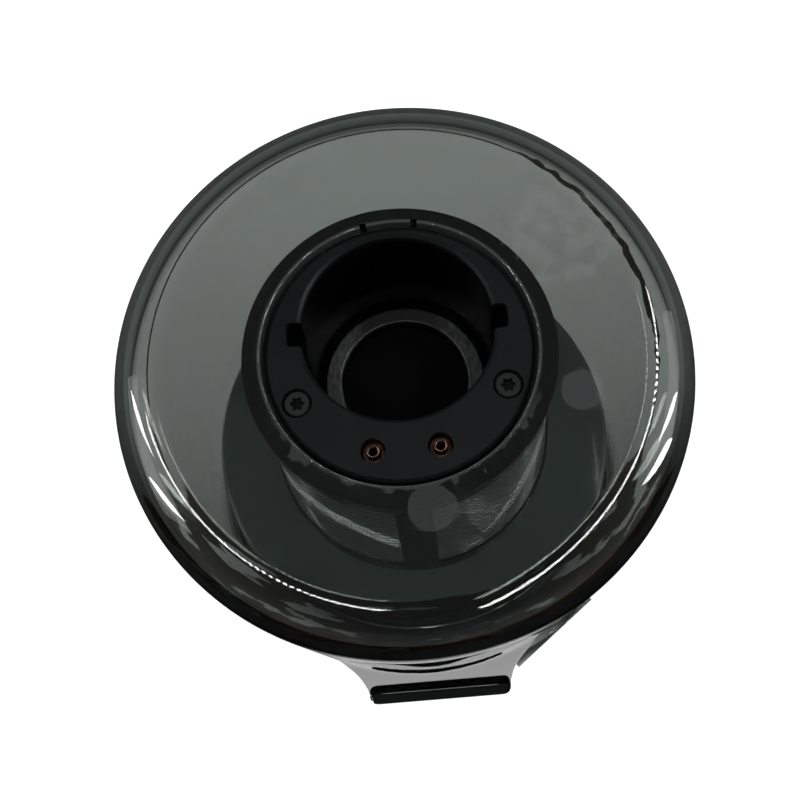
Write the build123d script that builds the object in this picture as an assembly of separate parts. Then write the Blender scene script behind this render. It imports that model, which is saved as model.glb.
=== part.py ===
"""Cyclone dust bin of a stick vacuum cleaner: a clear cup with a twist-out cyclone unit.

Millimetres. The origin is the centre of the cup's rear rim, on which the bin stands.
+Z runs along the bin to the face that takes the wand, and the latch lug is on the -Y side.
"""
import os
from math import cos, degrees, hypot, radians, sin, sqrt, tan

from build123d import *

# Clear cup
BIN_HEIGHT = 112.0
RIM_R = 57.5
CORNER_R = 10.0
INNER_CORNER_R = 8.6
CUP_WALL = 2.6
FACE_WALL = 2.5
WALL_DRAFT_DEG = 0.4
HOLE_EDGE_R = 0.4
NOTCH_SPREAD = 5.0
NOTCH_WIDTH = 1.2
NOTCH_DEPTH = 0.8
SPIGOT_STEP = 1.0
SPIGOT_LENGTH = 8.0

# Latch lug on the cup's lower side
LUG_STAND = 6.1
LUG_LIP = 2.5
LUG_X = 1.3
LUG_HALF_WIDTH = 17.7
LUG_SHOULDER = 5.8
LUG_FLARE = 5.0
LUG_CORNER_R = 2.0
LUG_LENGTH = 25.0
LUG_RAMP_DEG = 11.5
LUG_SIDE_WALL = 3.0
LUG_COVER = 2.4
WEB_DEG = -53.5
WEB_STAND = 1.3
WEB_SPAN = (-17.5, 8.0)
WEB_THICK = 2.4
WEB_END_R = 1.8

# Twist lock
TABS = 3
TAB_DEG = 18.0
TWIST_DEG = 22.0
STOP_DEG = 2.0
LEDGE_REACH = 2.4
LEDGE_THICK = 3.5
TAB_THICK = 3.0

# Wand inlet
SOCKET_R = 18.9
SOCKET_Y = 5.1
SOCKET_WALL = 2.0
SOCKET_DEPTH = 36.5
SOCKET_EDGE = 0.6
STEP_WIDTH = 4.6
STEP_THICK = 2.0
PLATE_LAND = 1.7
PLATE_GAP = 0.9
PLATE_THICK = 2.0
PLATE_RECESS = 1.0
PLATE_EDGE = 0.5
DUCT_FLANGE = 2.2
KEY_WIDTH = 5.0
KEY_DEPTH = 2.6
KEY_LENGTH = 8.0
KEY_CORNER_R = 1.0
SCREW_EDGE = 3.85
SCREW_DEG = -23.75
SCREW_HEAD_R = 2.5
SCREW_HEAD = 1.2
SCREW_HEAD_EDGE = 0.2
SCREW_SUNK = 0.4
SCREW_SHANK_R = 1.4
SCREW_LENGTH = 9.0
RECESS_R = 1.05
RECESS_DEPTH = 0.8
LOBE_R = 0.35
LOBES = 6
COUNTERBORE_R = 2.9
BOSS_R = 3.1
CONTACT_X = 6.3
CONTACT_EDGE = 6.4
CONTACT_HOLE_R = 2.4
SLEEVE_R = 2.0
SLEEVE_BORE_R = 1.4
SLEEVE_SUNK = 2.6
HOLDER_SIDE = 2.9
HOLDER_BACK = 2.6
HOLDER_HEIGHT = 10.0
HOLDER_CORNER_R = 0.6
WIRE_R = 0.9
SEAL_HEIGHT = 1.5
SEAL_REBATE = 0.9
SEAL_EDGE_R = 0.5

# Chamber under the socket, its side mouth and the non-return flap
CHAMBER_FLOOR = 2.0
CHAMBER_DROP = 1.0
CHAMBER_RELIEF = 0.3
MOUTH_INNER = 1.4
MOUTH_OUTER = 1.8
MOUTH_SILL = 4.5
MOUTH_HEADROOM = 2.5
FLAP_LAP = 0.9
FLAP_THICK = 1.4
FLAP_AXIS_OUT = 1.9
FLAP_BARREL_R = 1.3
FLAP_BARREL_HALF = 3.2
FLAP_BARREL_DROP = 0.6
PIN_R = 0.7
EAR_THICK = 2.0

# Shroud drum and screen
COLLAR_FIT = 0.5
COLLAR_HEIGHT = 4.5
COLLAR_STEP = 0.9
COLLAR_SEAT = 2.2
GASKET_HEIGHT = 1.0
GASKET_WIDTH = 3.0
GASKET_SET = 0.8
DRUM_FLARE = 4.5
DRUM_WALL = 2.2
FLOOR_Z = 47.5
FOOT_HEIGHT = 3.2
FOOT_WIDTH = 5.4
WINDOW_MARGIN = 2.5
PANELS = 4
RIB_DEG = 14.0
SHROUD_SCREW_DEG = 28.0
SCREEN_SUNK = 0.5
SCREEN_THICK = 0.3
SCREEN_GRIP = 1.0

# Cyclone housing, cones and vortex finders
HOUSING_STEP = 3.4
HOUSING_WALL = 2.0
HOUSING_TAPER = 0.6
FLOOR_THICK = 2.5
FLOOR_EDGE_R = 1.0
CONES = 9
CONE_WIDE_R = 9.0
CONE_TIP_R = 3.6
CONE_WALL = 1.2
CONE_TIP_GAP = 2.0
CONE_INSET = 0.3
CONE_INLET = (5.0, 5.5)
PLATE_FIT = 0.3
CONE_PLATE = 2.0
CONE_GASKET = 1.0
VORTEX_PLATE = 2.0
VORTEX_R = 4.5
VORTEX_WALL = 1.0
VORTEX_LENGTH = 10.0
HUB_ROOM = 2.25
HUB_WALL = 2.0
HUB_END_Z = 4.0
UNIT_SCREWS = 3
UNIT_SCREW_OUT = 4.0
PILLAR_R = 3.0

# Lock ring and filter
RING_WALL = 4.0
RING_FRONT_Z = 20.0
RING_REAR_Z = 1.0
RING_FLANGE = 2.5
RING_SEAT = 2.6
RING_RIM_STEP = 1.3
RING_RIM_LENGTH = 5.5
GRIPS = 12
GRIP_R = 3.0
GRIP_SET = 1.0
REAR_SEAL_SPACE = 1.9
REAR_SEAL_INSET = 1.0
REAR_SEAL_GAP = 0.4
REAR_SEAL_EDGE_R = 0.7
FILTER_REAR_Z = 3.0
FILTER_RIM = 1.5
FILTER_SPOKES = 6
SPOKE_WIDTH = 2.0
SPOKE_HEIGHT = 2.0
FILTER_SEAL = 1.0
FILTER_TAB = (9.0, 2.4, 6.0)

# Rear contacts
BLADE_WIDTH = 4.0
BLADE_THICK = 0.8
BLADE_TIP_Z = 0.8
BLOCK_FRONT_Z = 12.0

# Clearances
SLIP = 0.3
SNUG = 0.1
RUN = 0.05

BASE = (Align.CENTER, Align.CENTER, Align.MIN)

# Levels along Z that several pieces share
FACE_IN_Z = BIN_HEIGHT - FACE_WALL
GASKET_Z = FACE_IN_Z - GASKET_HEIGHT
COLLAR_Z = GASKET_Z - COLLAR_HEIGHT
PLATE_TOP_Z = BIN_HEIGHT - PLATE_RECESS
PLATE_Z = PLATE_TOP_Z - PLATE_THICK
DUCT_TOP_Z = PLATE_Z
FLANGE_Z = DUCT_TOP_Z - DUCT_FLANGE
STEP_Z = BIN_HEIGHT - SOCKET_DEPTH
SEAL_TOP_Z = STEP_Z + SEAL_HEIGHT
STEP_UNDER_Z = STEP_Z - STEP_THICK
CHAMBER_Z = FLOOR_Z - CHAMBER_DROP
FLOOR_UNDER_Z = FLOOR_Z - FLOOR_THICK
CONE_TIP_Z = FLOOR_UNDER_Z - CONE_TIP_GAP
VORTEX_Z = RING_FRONT_Z
CONE_GASKET_Z = VORTEX_Z + VORTEX_PLATE
CONE_PLATE_Z = CONE_GASKET_Z + CONE_GASKET
CONE_WIDE_Z = CONE_PLATE_Z + CONE_PLATE
RING_FLANGE_Z = RING_FRONT_Z - RING_FLANGE
LEDGE_Z = RING_REAR_Z + RING_RIM_LENGTH + 2 * SLIP
TAB_Z = LEDGE_Z + LEDGE_THICK + SLIP
HOLDER_Z = FLANGE_Z - HOLDER_HEIGHT
FILTER_FRONT_Z = RING_FLANGE_Z - FILTER_SEAL
FLAP_AXIS_Z = STEP_UNDER_Z - SLIP - FLAP_THICK / 2 - FLAP_BARREL_DROP
MOUTH_Z = (CHAMBER_Z + CHAMBER_FLOOR + MOUTH_SILL, STEP_UNDER_Z - MOUTH_HEADROOM)
REAR_SEAL_Z = (RING_REAR_Z + REAR_SEAL_INSET, RING_REAR_Z + RING_RIM_LENGTH - REAR_SEAL_INSET)

# Radii and places round the wand inlet, each from the socket outwards
DUCT_R = SOCKET_R + SOCKET_WALL
STEP_HOLE_R = SOCKET_R - STEP_WIDTH
CHAMBER_R = SOCKET_R + CHAMBER_RELIEF
FLAP_R = STEP_HOLE_R + FLAP_LAP
FLAP_AXIS_X = -STEP_HOLE_R - FLAP_AXIS_OUT
MOUTH_Y = (SOCKET_Y + MOUTH_INNER, SOCKET_Y + SOCKET_R - MOUTH_OUTER)
PLATE_R = SOCKET_Y + SOCKET_R + PLATE_LAND
FACE_HOLE_R = PLATE_R + PLATE_GAP
COLLAR_INNER_R = PLATE_R + COLLAR_FIT
LEDGE_INNER_R = COLLAR_INNER_R - COLLAR_SEAT
GASKET_INNER_R = FACE_HOLE_R + GASKET_SET
COLLAR_R = GASKET_INNER_R + GASKET_WIDTH
DRUM_TOP_R = COLLAR_R - COLLAR_STEP
DRUM_FOOT_R = DRUM_TOP_R + DRUM_FLARE
FOOT_INNER_R = DRUM_FOOT_R - FOOT_WIDTH
SCREW_SEAT_Z = PLATE_TOP_Z - SCREW_SUNK - SCREW_HEAD
SCREW_X = (PLATE_R - SCREW_EDGE) * cos(radians(SCREW_DEG))
SCREW_Y = (PLATE_R - SCREW_EDGE) * sin(radians(SCREW_DEG))
CONTACT_Y = CONTACT_EDGE - PLATE_R
HOLDER_HALF_X = CONTACT_X + HOLDER_SIDE
HOLDER_Y = (CONTACT_Y - HOLDER_BACK, CONTACT_Y + HOLDER_SIDE)
HUB_R = hypot(HOLDER_HALF_X, HOLDER_Y[0]) + HUB_ROOM + HUB_WALL
SOCKET_AT = Pos(0, SOCKET_Y, 0)

# Radii of the cup and of what it holds, each from the wall inwards
DRAFT = tan(radians(WALL_DRAFT_DEG))
REAR_R = RIM_R + DRAFT * (BIN_HEIGHT - CORNER_R)
REAR_IN_R = REAR_R - CUP_WALL
SPIGOT_R = REAR_R - SPIGOT_STEP
ROOT_R = REAR_IN_R + CUP_WALL / 2
LUG_FRONT_Y = -REAR_R - LUG_STAND
RING_RIM_R = REAR_IN_R - REAR_SEAL_SPACE
RING_R = RING_RIM_R - RING_RIM_STEP
RING_IN_R = RING_R - RING_WALL
HOUSING_R = RING_R - HOUSING_STEP
HOUSING_IN_R = HOUSING_R - HOUSING_WALL - HOUSING_TAPER
STACK_R = HOUSING_IN_R - PLATE_FIT
RING_FLANGE_INNER_R = STACK_R - RING_SEAT
CONE_PITCH_R = STACK_R - CONE_INSET - CONE_WIDE_R - CONE_WALL
CONE_PLATE_IN_R = min(HUB_R - HUB_WALL, CONE_PITCH_R - CONE_WIDE_R - CONE_WALL - CONE_INSET)
UNIT_SCREW_R = CONE_PITCH_R + UNIT_SCREW_OUT
FILTER_R = RING_IN_R - SLIP
FILTER_IN_R = HUB_R + SLIP


def drum(radius, low, high):
    """A cylinder about Z between two levels."""
    return Pos(0, 0, low) * Cylinder(radius, high - low, align=BASE)


def tube(outer, inner, low, high):
    """A plain ring about Z between two levels."""
    return drum(outer, low, high) - drum(inner, low, high)


def cone(low_r, high_r, low, high):
    """A cone about Z between two levels."""
    return Pos(0, 0, low) * Cone(low_r, high_r, high - low, align=BASE)


def block(x, y, z):
    """A box from three pairs of limits."""
    size = (x[1] - x[0], y[1] - y[0], z[1] - z[0])
    corner = (Align.MIN, Align.MIN, Align.MIN)
    return Pos(x[0], y[0], z[0]) * Box(*size, align=corner)


def turned(*corners):
    """A solid turned about Z from corners given as radius and height."""
    return revolve(Plane.XZ * make_face(Polyline(*corners, close=True)), Axis.Z)


def sector(start_deg, end_deg, reach, low, high):
    """A wedge about Z from one bearing to another, counted from +X towards +Y."""
    outline = Polyline((reach, 0), (0, 0), (reach * cos(radians(end_deg - start_deg)),
                                             reach * sin(radians(end_deg - start_deg))))
    arc = CenterArc((0, 0), reach, 0, end_deg - start_deg)
    wedge = extrude(make_face(outline.edges() + arc.edges()), high - low)
    return Pos(0, 0, low) * Rot(0, 0, start_deg) * wedge


def around(piece, count, first_deg=0.0):
    """Copies of a piece spread evenly about Z."""
    return [Rot(0, 0, first_deg + i * 360.0 / count) * piece for i in range(count)]


def drum_r(z):
    """The shroud's outer radius at a level, a straight cone from collar to floor."""
    share = (COLLAR_Z - z) / (COLLAR_Z - FLOOR_Z)
    return DRUM_TOP_R + (DRUM_FOOT_R - DRUM_TOP_R) * share


def drum_shell(sunk, thick, low, high):
    """A conical sheet that lies a given depth under the shroud's outer surface."""
    outer = cone(drum_r(low) - sunk, drum_r(high) - sunk, low, high)
    return outer - cone(drum_r(low) - sunk - thick, drum_r(high) - sunk - thick, low, high)


def cup_inner_r(z):
    """The cup's inside radius at a level of its straight wall."""
    return REAR_IN_R - DRAFT * z


def dust_cup():
    """The clear cup: face, rounded corner, drafted wall, spigot, lock ledges and latch lug."""
    top_r = REAR_R - DRAFT * BIN_HEIGHT
    outer = turned((0, 0), (SPIGOT_R, 0), (SPIGOT_R, SPIGOT_LENGTH), (REAR_R, SPIGOT_LENGTH),
                   (top_r, BIN_HEIGHT), (0, BIN_HEIGHT))
    outer = fillet(outer.edges().group_by(Axis.Z)[-1], CORNER_R)
    outer += [latch_lug(), lug_web()]
    inner = cone(REAR_IN_R, cup_inner_r(FACE_IN_Z), 0, FACE_IN_Z)
    inner = fillet(inner.edges().group_by(Axis.Z)[-1], INNER_CORNER_R)
    cup = outer - inner - drum(FACE_HOLE_R, FACE_IN_Z, BIN_HEIGHT)
    hole_edges = cup.edges().group_by(Axis.Z)[-1].filter_by(GeomType.CIRCLE).sort_by(SortBy.RADIUS)
    cup = fillet(hole_edges[0], HOLE_EDGE_R)
    for side in (-1, 1):
        x = side * NOTCH_SPREAD
        cup -= block((x - NOTCH_WIDTH / 2, x + NOTCH_WIDTH / 2), (0, FACE_HOLE_R + NOTCH_DEPTH),
                     (FACE_IN_Z, BIN_HEIGHT))
    return cup + lock_ledges()


def latch_lug():
    """The lug: a ramp, then a flat-fronted lip, cut to a flared outline, with a pocket open to the rear."""
    low = SPIGOT_LENGTH
    lip_z = low + LUG_LENGTH
    left, right = LUG_X - LUG_HALF_WIDTH, LUG_X + LUG_HALF_WIDTH
    shelf_y = LUG_FRONT_Y + LUG_LIP
    shoulder_y = LUG_FRONT_Y + LUG_SHOULDER
    root_y = -sqrt(ROOT_R ** 2 - (right + LUG_FLARE) ** 2)
    top_z = lip_z + (root_y - shelf_y) / tan(radians(LUG_RAMP_DEG))
    side = make_face(Polyline((root_y, low), (LUG_FRONT_Y, low), (LUG_FRONT_Y, lip_z), (shelf_y, lip_z),
                              (root_y, top_z), close=True))
    body = extrude(Plane.YZ * side, REAR_R, both=True)
    plan = make_face(Polyline((left - LUG_FLARE, root_y), (left, shoulder_y), (left, LUG_FRONT_Y),
                              (right, LUG_FRONT_Y), (right, shoulder_y), (right + LUG_FLARE, root_y),
                              close=True))
    body &= extrude(plan, top_z)
    body = fillet(body.edges().filter_by(Axis.Z).sort_by(Axis.Y)[:2], LUG_CORNER_R)
    pocket = block((left + LUG_SIDE_WALL, right - LUG_SIDE_WALL), (LUG_FRONT_Y + LUG_COVER, 0),
                   (low, lip_z - LUG_LIP))
    return body - (pocket - drum(REAR_R + SLIP, low, lip_z))


def lug_web():
    """The thin web that runs from the lug's lip along the wall."""
    lip_z = SPIGOT_LENGTH + LUG_LENGTH
    inside = sqrt(ROOT_R ** 2 - WEB_SPAN[0] ** 2)
    web = block((inside, REAR_R + WEB_STAND), WEB_SPAN, (lip_z - WEB_THICK, lip_z))
    end = web.edges().filter_by(Axis.Z).sort_by(Axis.X)[-2:].sort_by(Axis.Y)[-1]
    return Rot(0, 0, WEB_DEG) * fillet(end, WEB_END_R)


def lock_ledges():
    """Ledges inside the cup's rear end that hold the tabs, each with a stop at both ends of the twist."""
    ledge_ring = tube(ROOT_R, REAR_IN_R - LEDGE_REACH, LEDGE_Z, LEDGE_Z + LEDGE_THICK)
    stop_ring = tube(ROOT_R, REAR_IN_R - LEDGE_REACH, LEDGE_Z, TAB_Z + TAB_THICK)
    gap_deg = degrees(2 * SLIP / REAR_IN_R)
    half = TAB_DEG / 2
    near = half + gap_deg
    far = -TWIST_DEG - half - gap_deg
    top = TAB_Z + TAB_THICK
    ledge = ledge_ring & sector(-half, near + STOP_DEG, ROOT_R, LEDGE_Z, LEDGE_Z + LEDGE_THICK)
    ledge += stop_ring & sector(near, near + STOP_DEG, ROOT_R, LEDGE_Z, top)
    ledge += stop_ring & sector(far - STOP_DEG, far, ROOT_R, LEDGE_Z, top)
    return around(ledge, TABS, 90)


def screw(head_r, head, shank_r, length):
    """A six-lobe screw standing head up, its head's underside at zero."""
    body = drum(head_r, 0, head) + drum(shank_r, -length, 0)
    body = chamfer(body.edges().group_by(Axis.Z)[-1], SCREW_HEAD_EDGE)
    recess_z = head - RECESS_DEPTH
    recess = drum(RECESS_R, recess_z, head)
    for lobe in around(Pos(RECESS_R, 0, 0) * drum(LOBE_R, recess_z, head), LOBES):
        recess += lobe
    return body - recess


def plate_screws():
    """Two screws that hold the face plate and the duct's flange to the shroud's bosses."""
    one = screw(SCREW_HEAD_R, SCREW_HEAD, SCREW_SHANK_R, SCREW_LENGTH)
    return [Pos(side * SCREW_X, SCREW_Y, SCREW_SEAT_Z) * one for side in (-1, 1)]


def face_plate():
    """The satin plate round the wand inlet, with keyways, counterbores and contact holes."""
    plate = drum(PLATE_R, PLATE_Z, PLATE_TOP_Z)
    plate = chamfer(plate.edges().group_by(Axis.Z)[-1], PLATE_EDGE)
    mouth = SOCKET_AT * drum(SOCKET_R, PLATE_Z, PLATE_TOP_Z)
    mouth += SOCKET_AT * cone(SOCKET_R, SOCKET_R + SOCKET_EDGE, PLATE_TOP_Z - SOCKET_EDGE, PLATE_TOP_Z)
    plate -= mouth
    plate -= keyways(PLATE_Z, PLATE_TOP_Z)
    for side in (-1, 1):
        at_screw = Pos(side * SCREW_X, SCREW_Y, 0)
        plate -= at_screw * drum(COUNTERBORE_R, SCREW_SEAT_Z, PLATE_TOP_Z)
        plate -= at_screw * drum(SCREW_SHANK_R + SNUG, PLATE_Z, PLATE_TOP_Z)
        plate -= Pos(side * CONTACT_X, CONTACT_Y, 0) * drum(CONTACT_HOLE_R, PLATE_Z, PLATE_TOP_Z)
    return plate


def keyways(low, high):
    """The slots at both sides of the socket that take the wand's ribs."""
    reach = SOCKET_R + KEY_DEPTH
    slot = block((-reach, reach), (SOCKET_Y - KEY_WIDTH / 2, SOCKET_Y + KEY_WIDTH / 2), (low, high))
    return fillet(slot.edges().filter_by(Axis.Z), KEY_CORNER_R)


def inlet_duct():
    """The wand socket: flange, tube with keyways, the seal's rebate, the step and the flap's ears."""
    duct = drum(COLLAR_INNER_R - SLIP, FLANGE_Z, DUCT_TOP_Z)
    duct += SOCKET_AT * drum(DUCT_R, STEP_UNDER_Z, DUCT_TOP_Z)
    pad_half = KEY_WIDTH / 2 + SOCKET_WALL
    pad_reach = SOCKET_R + KEY_DEPTH + SOCKET_WALL
    pad_low = DUCT_TOP_Z - KEY_LENGTH - SOCKET_WALL
    pads = block((-pad_reach, pad_reach), (SOCKET_Y - pad_half, SOCKET_Y + pad_half), (pad_low, FLANGE_Z))
    duct += pads & drum(LEDGE_INNER_R - SLIP, pad_low, FLANGE_Z)
    duct -= SOCKET_AT * drum(SOCKET_R, SEAL_TOP_Z, DUCT_TOP_Z)
    duct -= SOCKET_AT * drum(SOCKET_R - SEAL_REBATE, STEP_Z, SEAL_TOP_Z)
    duct -= SOCKET_AT * drum(STEP_HOLE_R, STEP_UNDER_Z, STEP_Z)
    duct -= keyways(DUCT_TOP_Z - KEY_LENGTH, DUCT_TOP_Z)
    for side in (-1, 1):
        duct -= Pos(side * SCREW_X, SCREW_Y, 0) * drum(SCREW_SHANK_R + SNUG, FLANGE_Z, DUCT_TOP_Z)
        duct -= Pos(side * CONTACT_X, CONTACT_Y, 0) * drum(SLEEVE_R + SNUG, FLANGE_Z, DUCT_TOP_Z)
    return duct + flap_ears()


def inlet_elbow():
    """The flap's chamber, welded under the step, with the mouth that blows round the cup."""
    elbow = SOCKET_AT * drum(DUCT_R, CHAMBER_Z, STEP_UNDER_Z)
    wall_y = (MOUTH_Y[0] - SOCKET_WALL, MOUTH_Y[1] + SOCKET_WALL)
    wall_z = (MOUTH_Z[0] - SOCKET_WALL, MOUTH_Z[1] + SOCKET_WALL)
    nozzle = block((0, DRUM_FOOT_R), wall_y, wall_z)
    elbow += nozzle & cone(drum_r(wall_z[0]), drum_r(wall_z[1]), *wall_z)
    elbow -= SOCKET_AT * drum(CHAMBER_R, CHAMBER_Z + CHAMBER_FLOOR, STEP_UNDER_Z)
    return elbow - block((0, DRUM_FOOT_R + DRUM_WALL), MOUTH_Y, MOUTH_Z)


def flap_ears():
    """The two ears under the step that carry the flap's pin."""
    ears = []
    hole = Pos(FLAP_AXIS_X, SOCKET_Y, FLAP_AXIS_Z) * Rot(90, 0, 0) * Cylinder(PIN_R + SNUG, 2 * SOCKET_R)
    for side in (-1, 1):
        near = SOCKET_Y + side * (FLAP_BARREL_HALF + SLIP)
        limits = sorted((near, near + side * EAR_THICK))
        ear = block((FLAP_AXIS_X - FLAP_BARREL_R, FLAP_AXIS_X + FLAP_BARREL_R), limits,
                    (FLAP_AXIS_Z, STEP_UNDER_Z))
        middle = near + side * EAR_THICK / 2
        ear += Pos(FLAP_AXIS_X, middle, FLAP_AXIS_Z) * Rot(90, 0, 0) * Cylinder(FLAP_BARREL_R, EAR_THICK)
        ears.append(ear - hole)
    return ears


def flap_pin():
    """The steel pin through the ears and the flap's barrel."""
    length = 2 * (FLAP_BARREL_HALF + SLIP + EAR_THICK)
    return Pos(FLAP_AXIS_X, SOCKET_Y, FLAP_AXIS_Z) * Rot(90, 0, 0) * Cylinder(PIN_R, length)


def inlet_flap():
    """The rubber non-return flap that closes the step's hole from below."""
    top = STEP_UNDER_Z - SLIP
    flap = SOCKET_AT * drum(FLAP_R, top - FLAP_THICK, top)
    ear_edge = FLAP_AXIS_X + FLAP_BARREL_R + SLIP
    for side in (-1, 1):
        near = SOCKET_Y + side * FLAP_BARREL_HALF
        limits = sorted((near, near + side * FLAP_R))
        flap -= block((-SOCKET_R, ear_edge), limits, (top - FLAP_THICK, top))
    barrel_y = (SOCKET_Y - FLAP_BARREL_HALF, SOCKET_Y + FLAP_BARREL_HALF)
    flap += block((FLAP_AXIS_X, FLAP_AXIS_X + 2 * FLAP_BARREL_R), barrel_y, (top - FLAP_THICK, top))
    barrel_at = Pos(FLAP_AXIS_X, SOCKET_Y, FLAP_AXIS_Z) * Rot(90, 0, 0)
    flap += barrel_at * Cylinder(FLAP_BARREL_R, 2 * FLAP_BARREL_HALF)
    return flap - barrel_at * Cylinder(PIN_R + RUN, 2 * FLAP_BARREL_HALF)


def inlet_seal():
    """The grey rubber ring that lies on the step and meets the wand's end."""
    ring = tube(SOCKET_R - SEAL_REBATE - SNUG, STEP_HOLE_R, STEP_Z, SEAL_TOP_Z)
    return SOCKET_AT * fillet(ring.edges().group_by(Axis.Z)[-1], SEAL_EDGE_R)


def contact_sleeves():
    """Two copper tubes that take the wand's pins."""
    one = tube(SLEEVE_R, SLEEVE_BORE_R, HOLDER_Z + SLEEVE_R, PLATE_TOP_Z - SLEEVE_SUNK)
    return [Pos(side * CONTACT_X, CONTACT_Y, 0) * one for side in (-1, 1)]


def contact_holder():
    """The insulating block under the duct's flange that holds the sleeves."""
    holder = block((-HOLDER_HALF_X, HOLDER_HALF_X), HOLDER_Y, (HOLDER_Z, FLANGE_Z))
    holder = fillet(holder.edges().filter_by(Axis.Z), HOLDER_CORNER_R)
    for side in (-1, 1):
        at = Pos(side * CONTACT_X, CONTACT_Y, 0)
        holder -= at * drum(SLEEVE_R, HOLDER_Z + SLEEVE_R, FLANGE_Z)
    return holder


def contact_wires():
    """Two straight leads from the inlet contacts to the rear block."""
    one = drum(WIRE_R, BLOCK_FRONT_Z, HOLDER_Z)
    return [Pos(side * CONTACT_X, CONTACT_Y, 0) * one for side in (-1, 1)]


def rear_contact_block():
    """The insulating block in the hub's end that carries the blades to the motor unit."""
    rear = block((-HOLDER_HALF_X, HOLDER_HALF_X), HOLDER_Y, (HUB_END_Z - HUB_WALL / 2, BLOCK_FRONT_Z))
    rear = fillet(rear.edges().filter_by(Axis.Z), HOLDER_CORNER_R)
    for blade in blade_bodies():
        rear -= blade
    return rear


def blade_bodies():
    """The two flat contact blades."""
    half_w, half_t = BLADE_WIDTH / 2, BLADE_THICK / 2
    root_z = BLOCK_FRONT_Z - BLADE_WIDTH
    y = (CONTACT_Y - half_w, CONTACT_Y + half_w)
    return [block((side * CONTACT_X - half_t, side * CONTACT_X + half_t), y, (BLADE_TIP_Z, root_z))
            for side in (-1, 1)]


def front_gasket():
    """The black ring pressed between the shroud's collar and the clear face."""
    return tube(COLLAR_R, GASKET_INNER_R, GASKET_Z, FACE_IN_Z)


def window_sectors():
    """Bearings of the windows: one in each panel but the first, which has the mouth, with ribs between."""
    pitch = 360.0 / PANELS
    return [(i * pitch + RIB_DEG / 2, (i + 1) * pitch - RIB_DEG / 2) for i in range(1, PANELS)]


def screen_sheets():
    """The curved sheets of fine steel screen, each gripped all round by its window."""
    low = FLOOR_Z + FOOT_HEIGHT + WINDOW_MARGIN - SCREEN_GRIP
    high = COLLAR_Z - WINDOW_MARGIN + SCREEN_GRIP
    grip_deg = degrees(SCREEN_GRIP / DRUM_TOP_R)
    sheet = drum_shell(SCREEN_SUNK, SCREEN_THICK, low, high)
    return [sheet & sector(start - grip_deg, end + grip_deg, HOUSING_R, low, high)
            for start, end in window_sectors()]


def shroud_frame(sheets):
    """The drum's frame: collar, ribs, foot and the bosses for the plate's screws."""
    frame = tube(COLLAR_R, COLLAR_INNER_R, COLLAR_Z, GASKET_Z)
    frame += tube(COLLAR_R, LEDGE_INNER_R, COLLAR_Z, FLANGE_Z)
    frame += drum_shell(0, DRUM_WALL, FLOOR_Z, COLLAR_Z + SLIP)
    frame += cone(DRUM_FOOT_R, drum_r(FLOOR_Z + FOOT_HEIGHT), FLOOR_Z, FLOOR_Z + FOOT_HEIGHT)
    frame -= drum(FOOT_INNER_R, FLOOR_Z, FLOOR_Z + FOOT_HEIGHT)
    low, high = FLOOR_Z + FOOT_HEIGHT + WINDOW_MARGIN, COLLAR_Z - WINDOW_MARGIN
    for start, end in window_sectors():
        frame -= sector(start, end, HOUSING_R, low, high)
    for sheet in sheets:
        frame -= sheet
    mouth_y = (MOUTH_Y[0] - SOCKET_WALL - SNUG, MOUTH_Y[1] + SOCKET_WALL + SNUG)
    mouth_z = (MOUTH_Z[0] - SOCKET_WALL - SNUG, MOUTH_Z[1] + SOCKET_WALL + SNUG)
    frame -= block((0, HOUSING_R), mouth_y, mouth_z)
    frame -= SOCKET_AT * drum(DUCT_R + SNUG, COLLAR_Z, FLANGE_Z)
    for side in (-1, 1):
        at_screw = Pos(side * SCREW_X, SCREW_Y, 0)
        frame += at_screw * drum(BOSS_R, SCREW_SEAT_Z - SCREW_LENGTH - PLATE_THICK, FLANGE_Z)
        frame -= at_screw * drum(SCREW_SHANK_R, SCREW_SEAT_Z - SCREW_LENGTH, FLANGE_Z)
    hole = shroud_screw_at() * drum(SCREW_SHANK_R, FLOOR_Z, FLOOR_Z + FOOT_HEIGHT - SLIP)
    for one in around(hole, UNIT_SCREWS, SHROUD_SCREW_DEG):
        frame -= one
    return frame


def shroud_screw_at():
    """Where a screw stands under the shroud's foot."""
    return Pos((FOOT_INNER_R + DRUM_FOOT_R - SLIP) / 2, 0, 0)


def shroud_screws():
    """Screws from under the floor into the shroud's foot."""
    one = screw(SCREW_HEAD_R, SCREW_HEAD, SCREW_SHANK_R, FLOOR_THICK + FOOT_HEIGHT - 2 * SLIP)
    placed = shroud_screw_at() * Pos(0, 0, FLOOR_UNDER_Z) * Rot(180, 0, 0) * one
    return around(placed, UNIT_SCREWS, SHROUD_SCREW_DEG)


def cyclone_housing():
    """The glossy floor with the drum round the cones, open to the rear."""
    rear_r = HOUSING_R - HOUSING_TAPER
    housing = cone(rear_r, HOUSING_R, RING_FRONT_Z, FLOOR_Z)
    housing = fillet(housing.edges().group_by(Axis.Z)[-1], FLOOR_EDGE_R)
    housing -= drum(HOUSING_IN_R, RING_FRONT_Z, FLOOR_UNDER_Z)
    housing -= drum(FOOT_INNER_R, FLOOR_UNDER_Z, FLOOR_Z)
    pillar = Pos(UNIT_SCREW_R, 0, 0) * tube(PILLAR_R, SCREW_SHANK_R, CONE_WIDE_Z, FLOOR_UNDER_Z)
    housing += around(pillar, UNIT_SCREWS, pillar_deg())
    hole = shroud_screw_at() * drum(SCREW_SHANK_R, FLOOR_UNDER_Z, FLOOR_Z)
    for one in around(hole, UNIT_SCREWS, SHROUD_SCREW_DEG):
        housing -= one
    return housing


def pillar_deg():
    """The bearing of the first screw pillar, half way between two cones."""
    return 180.0 / CONES


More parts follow.
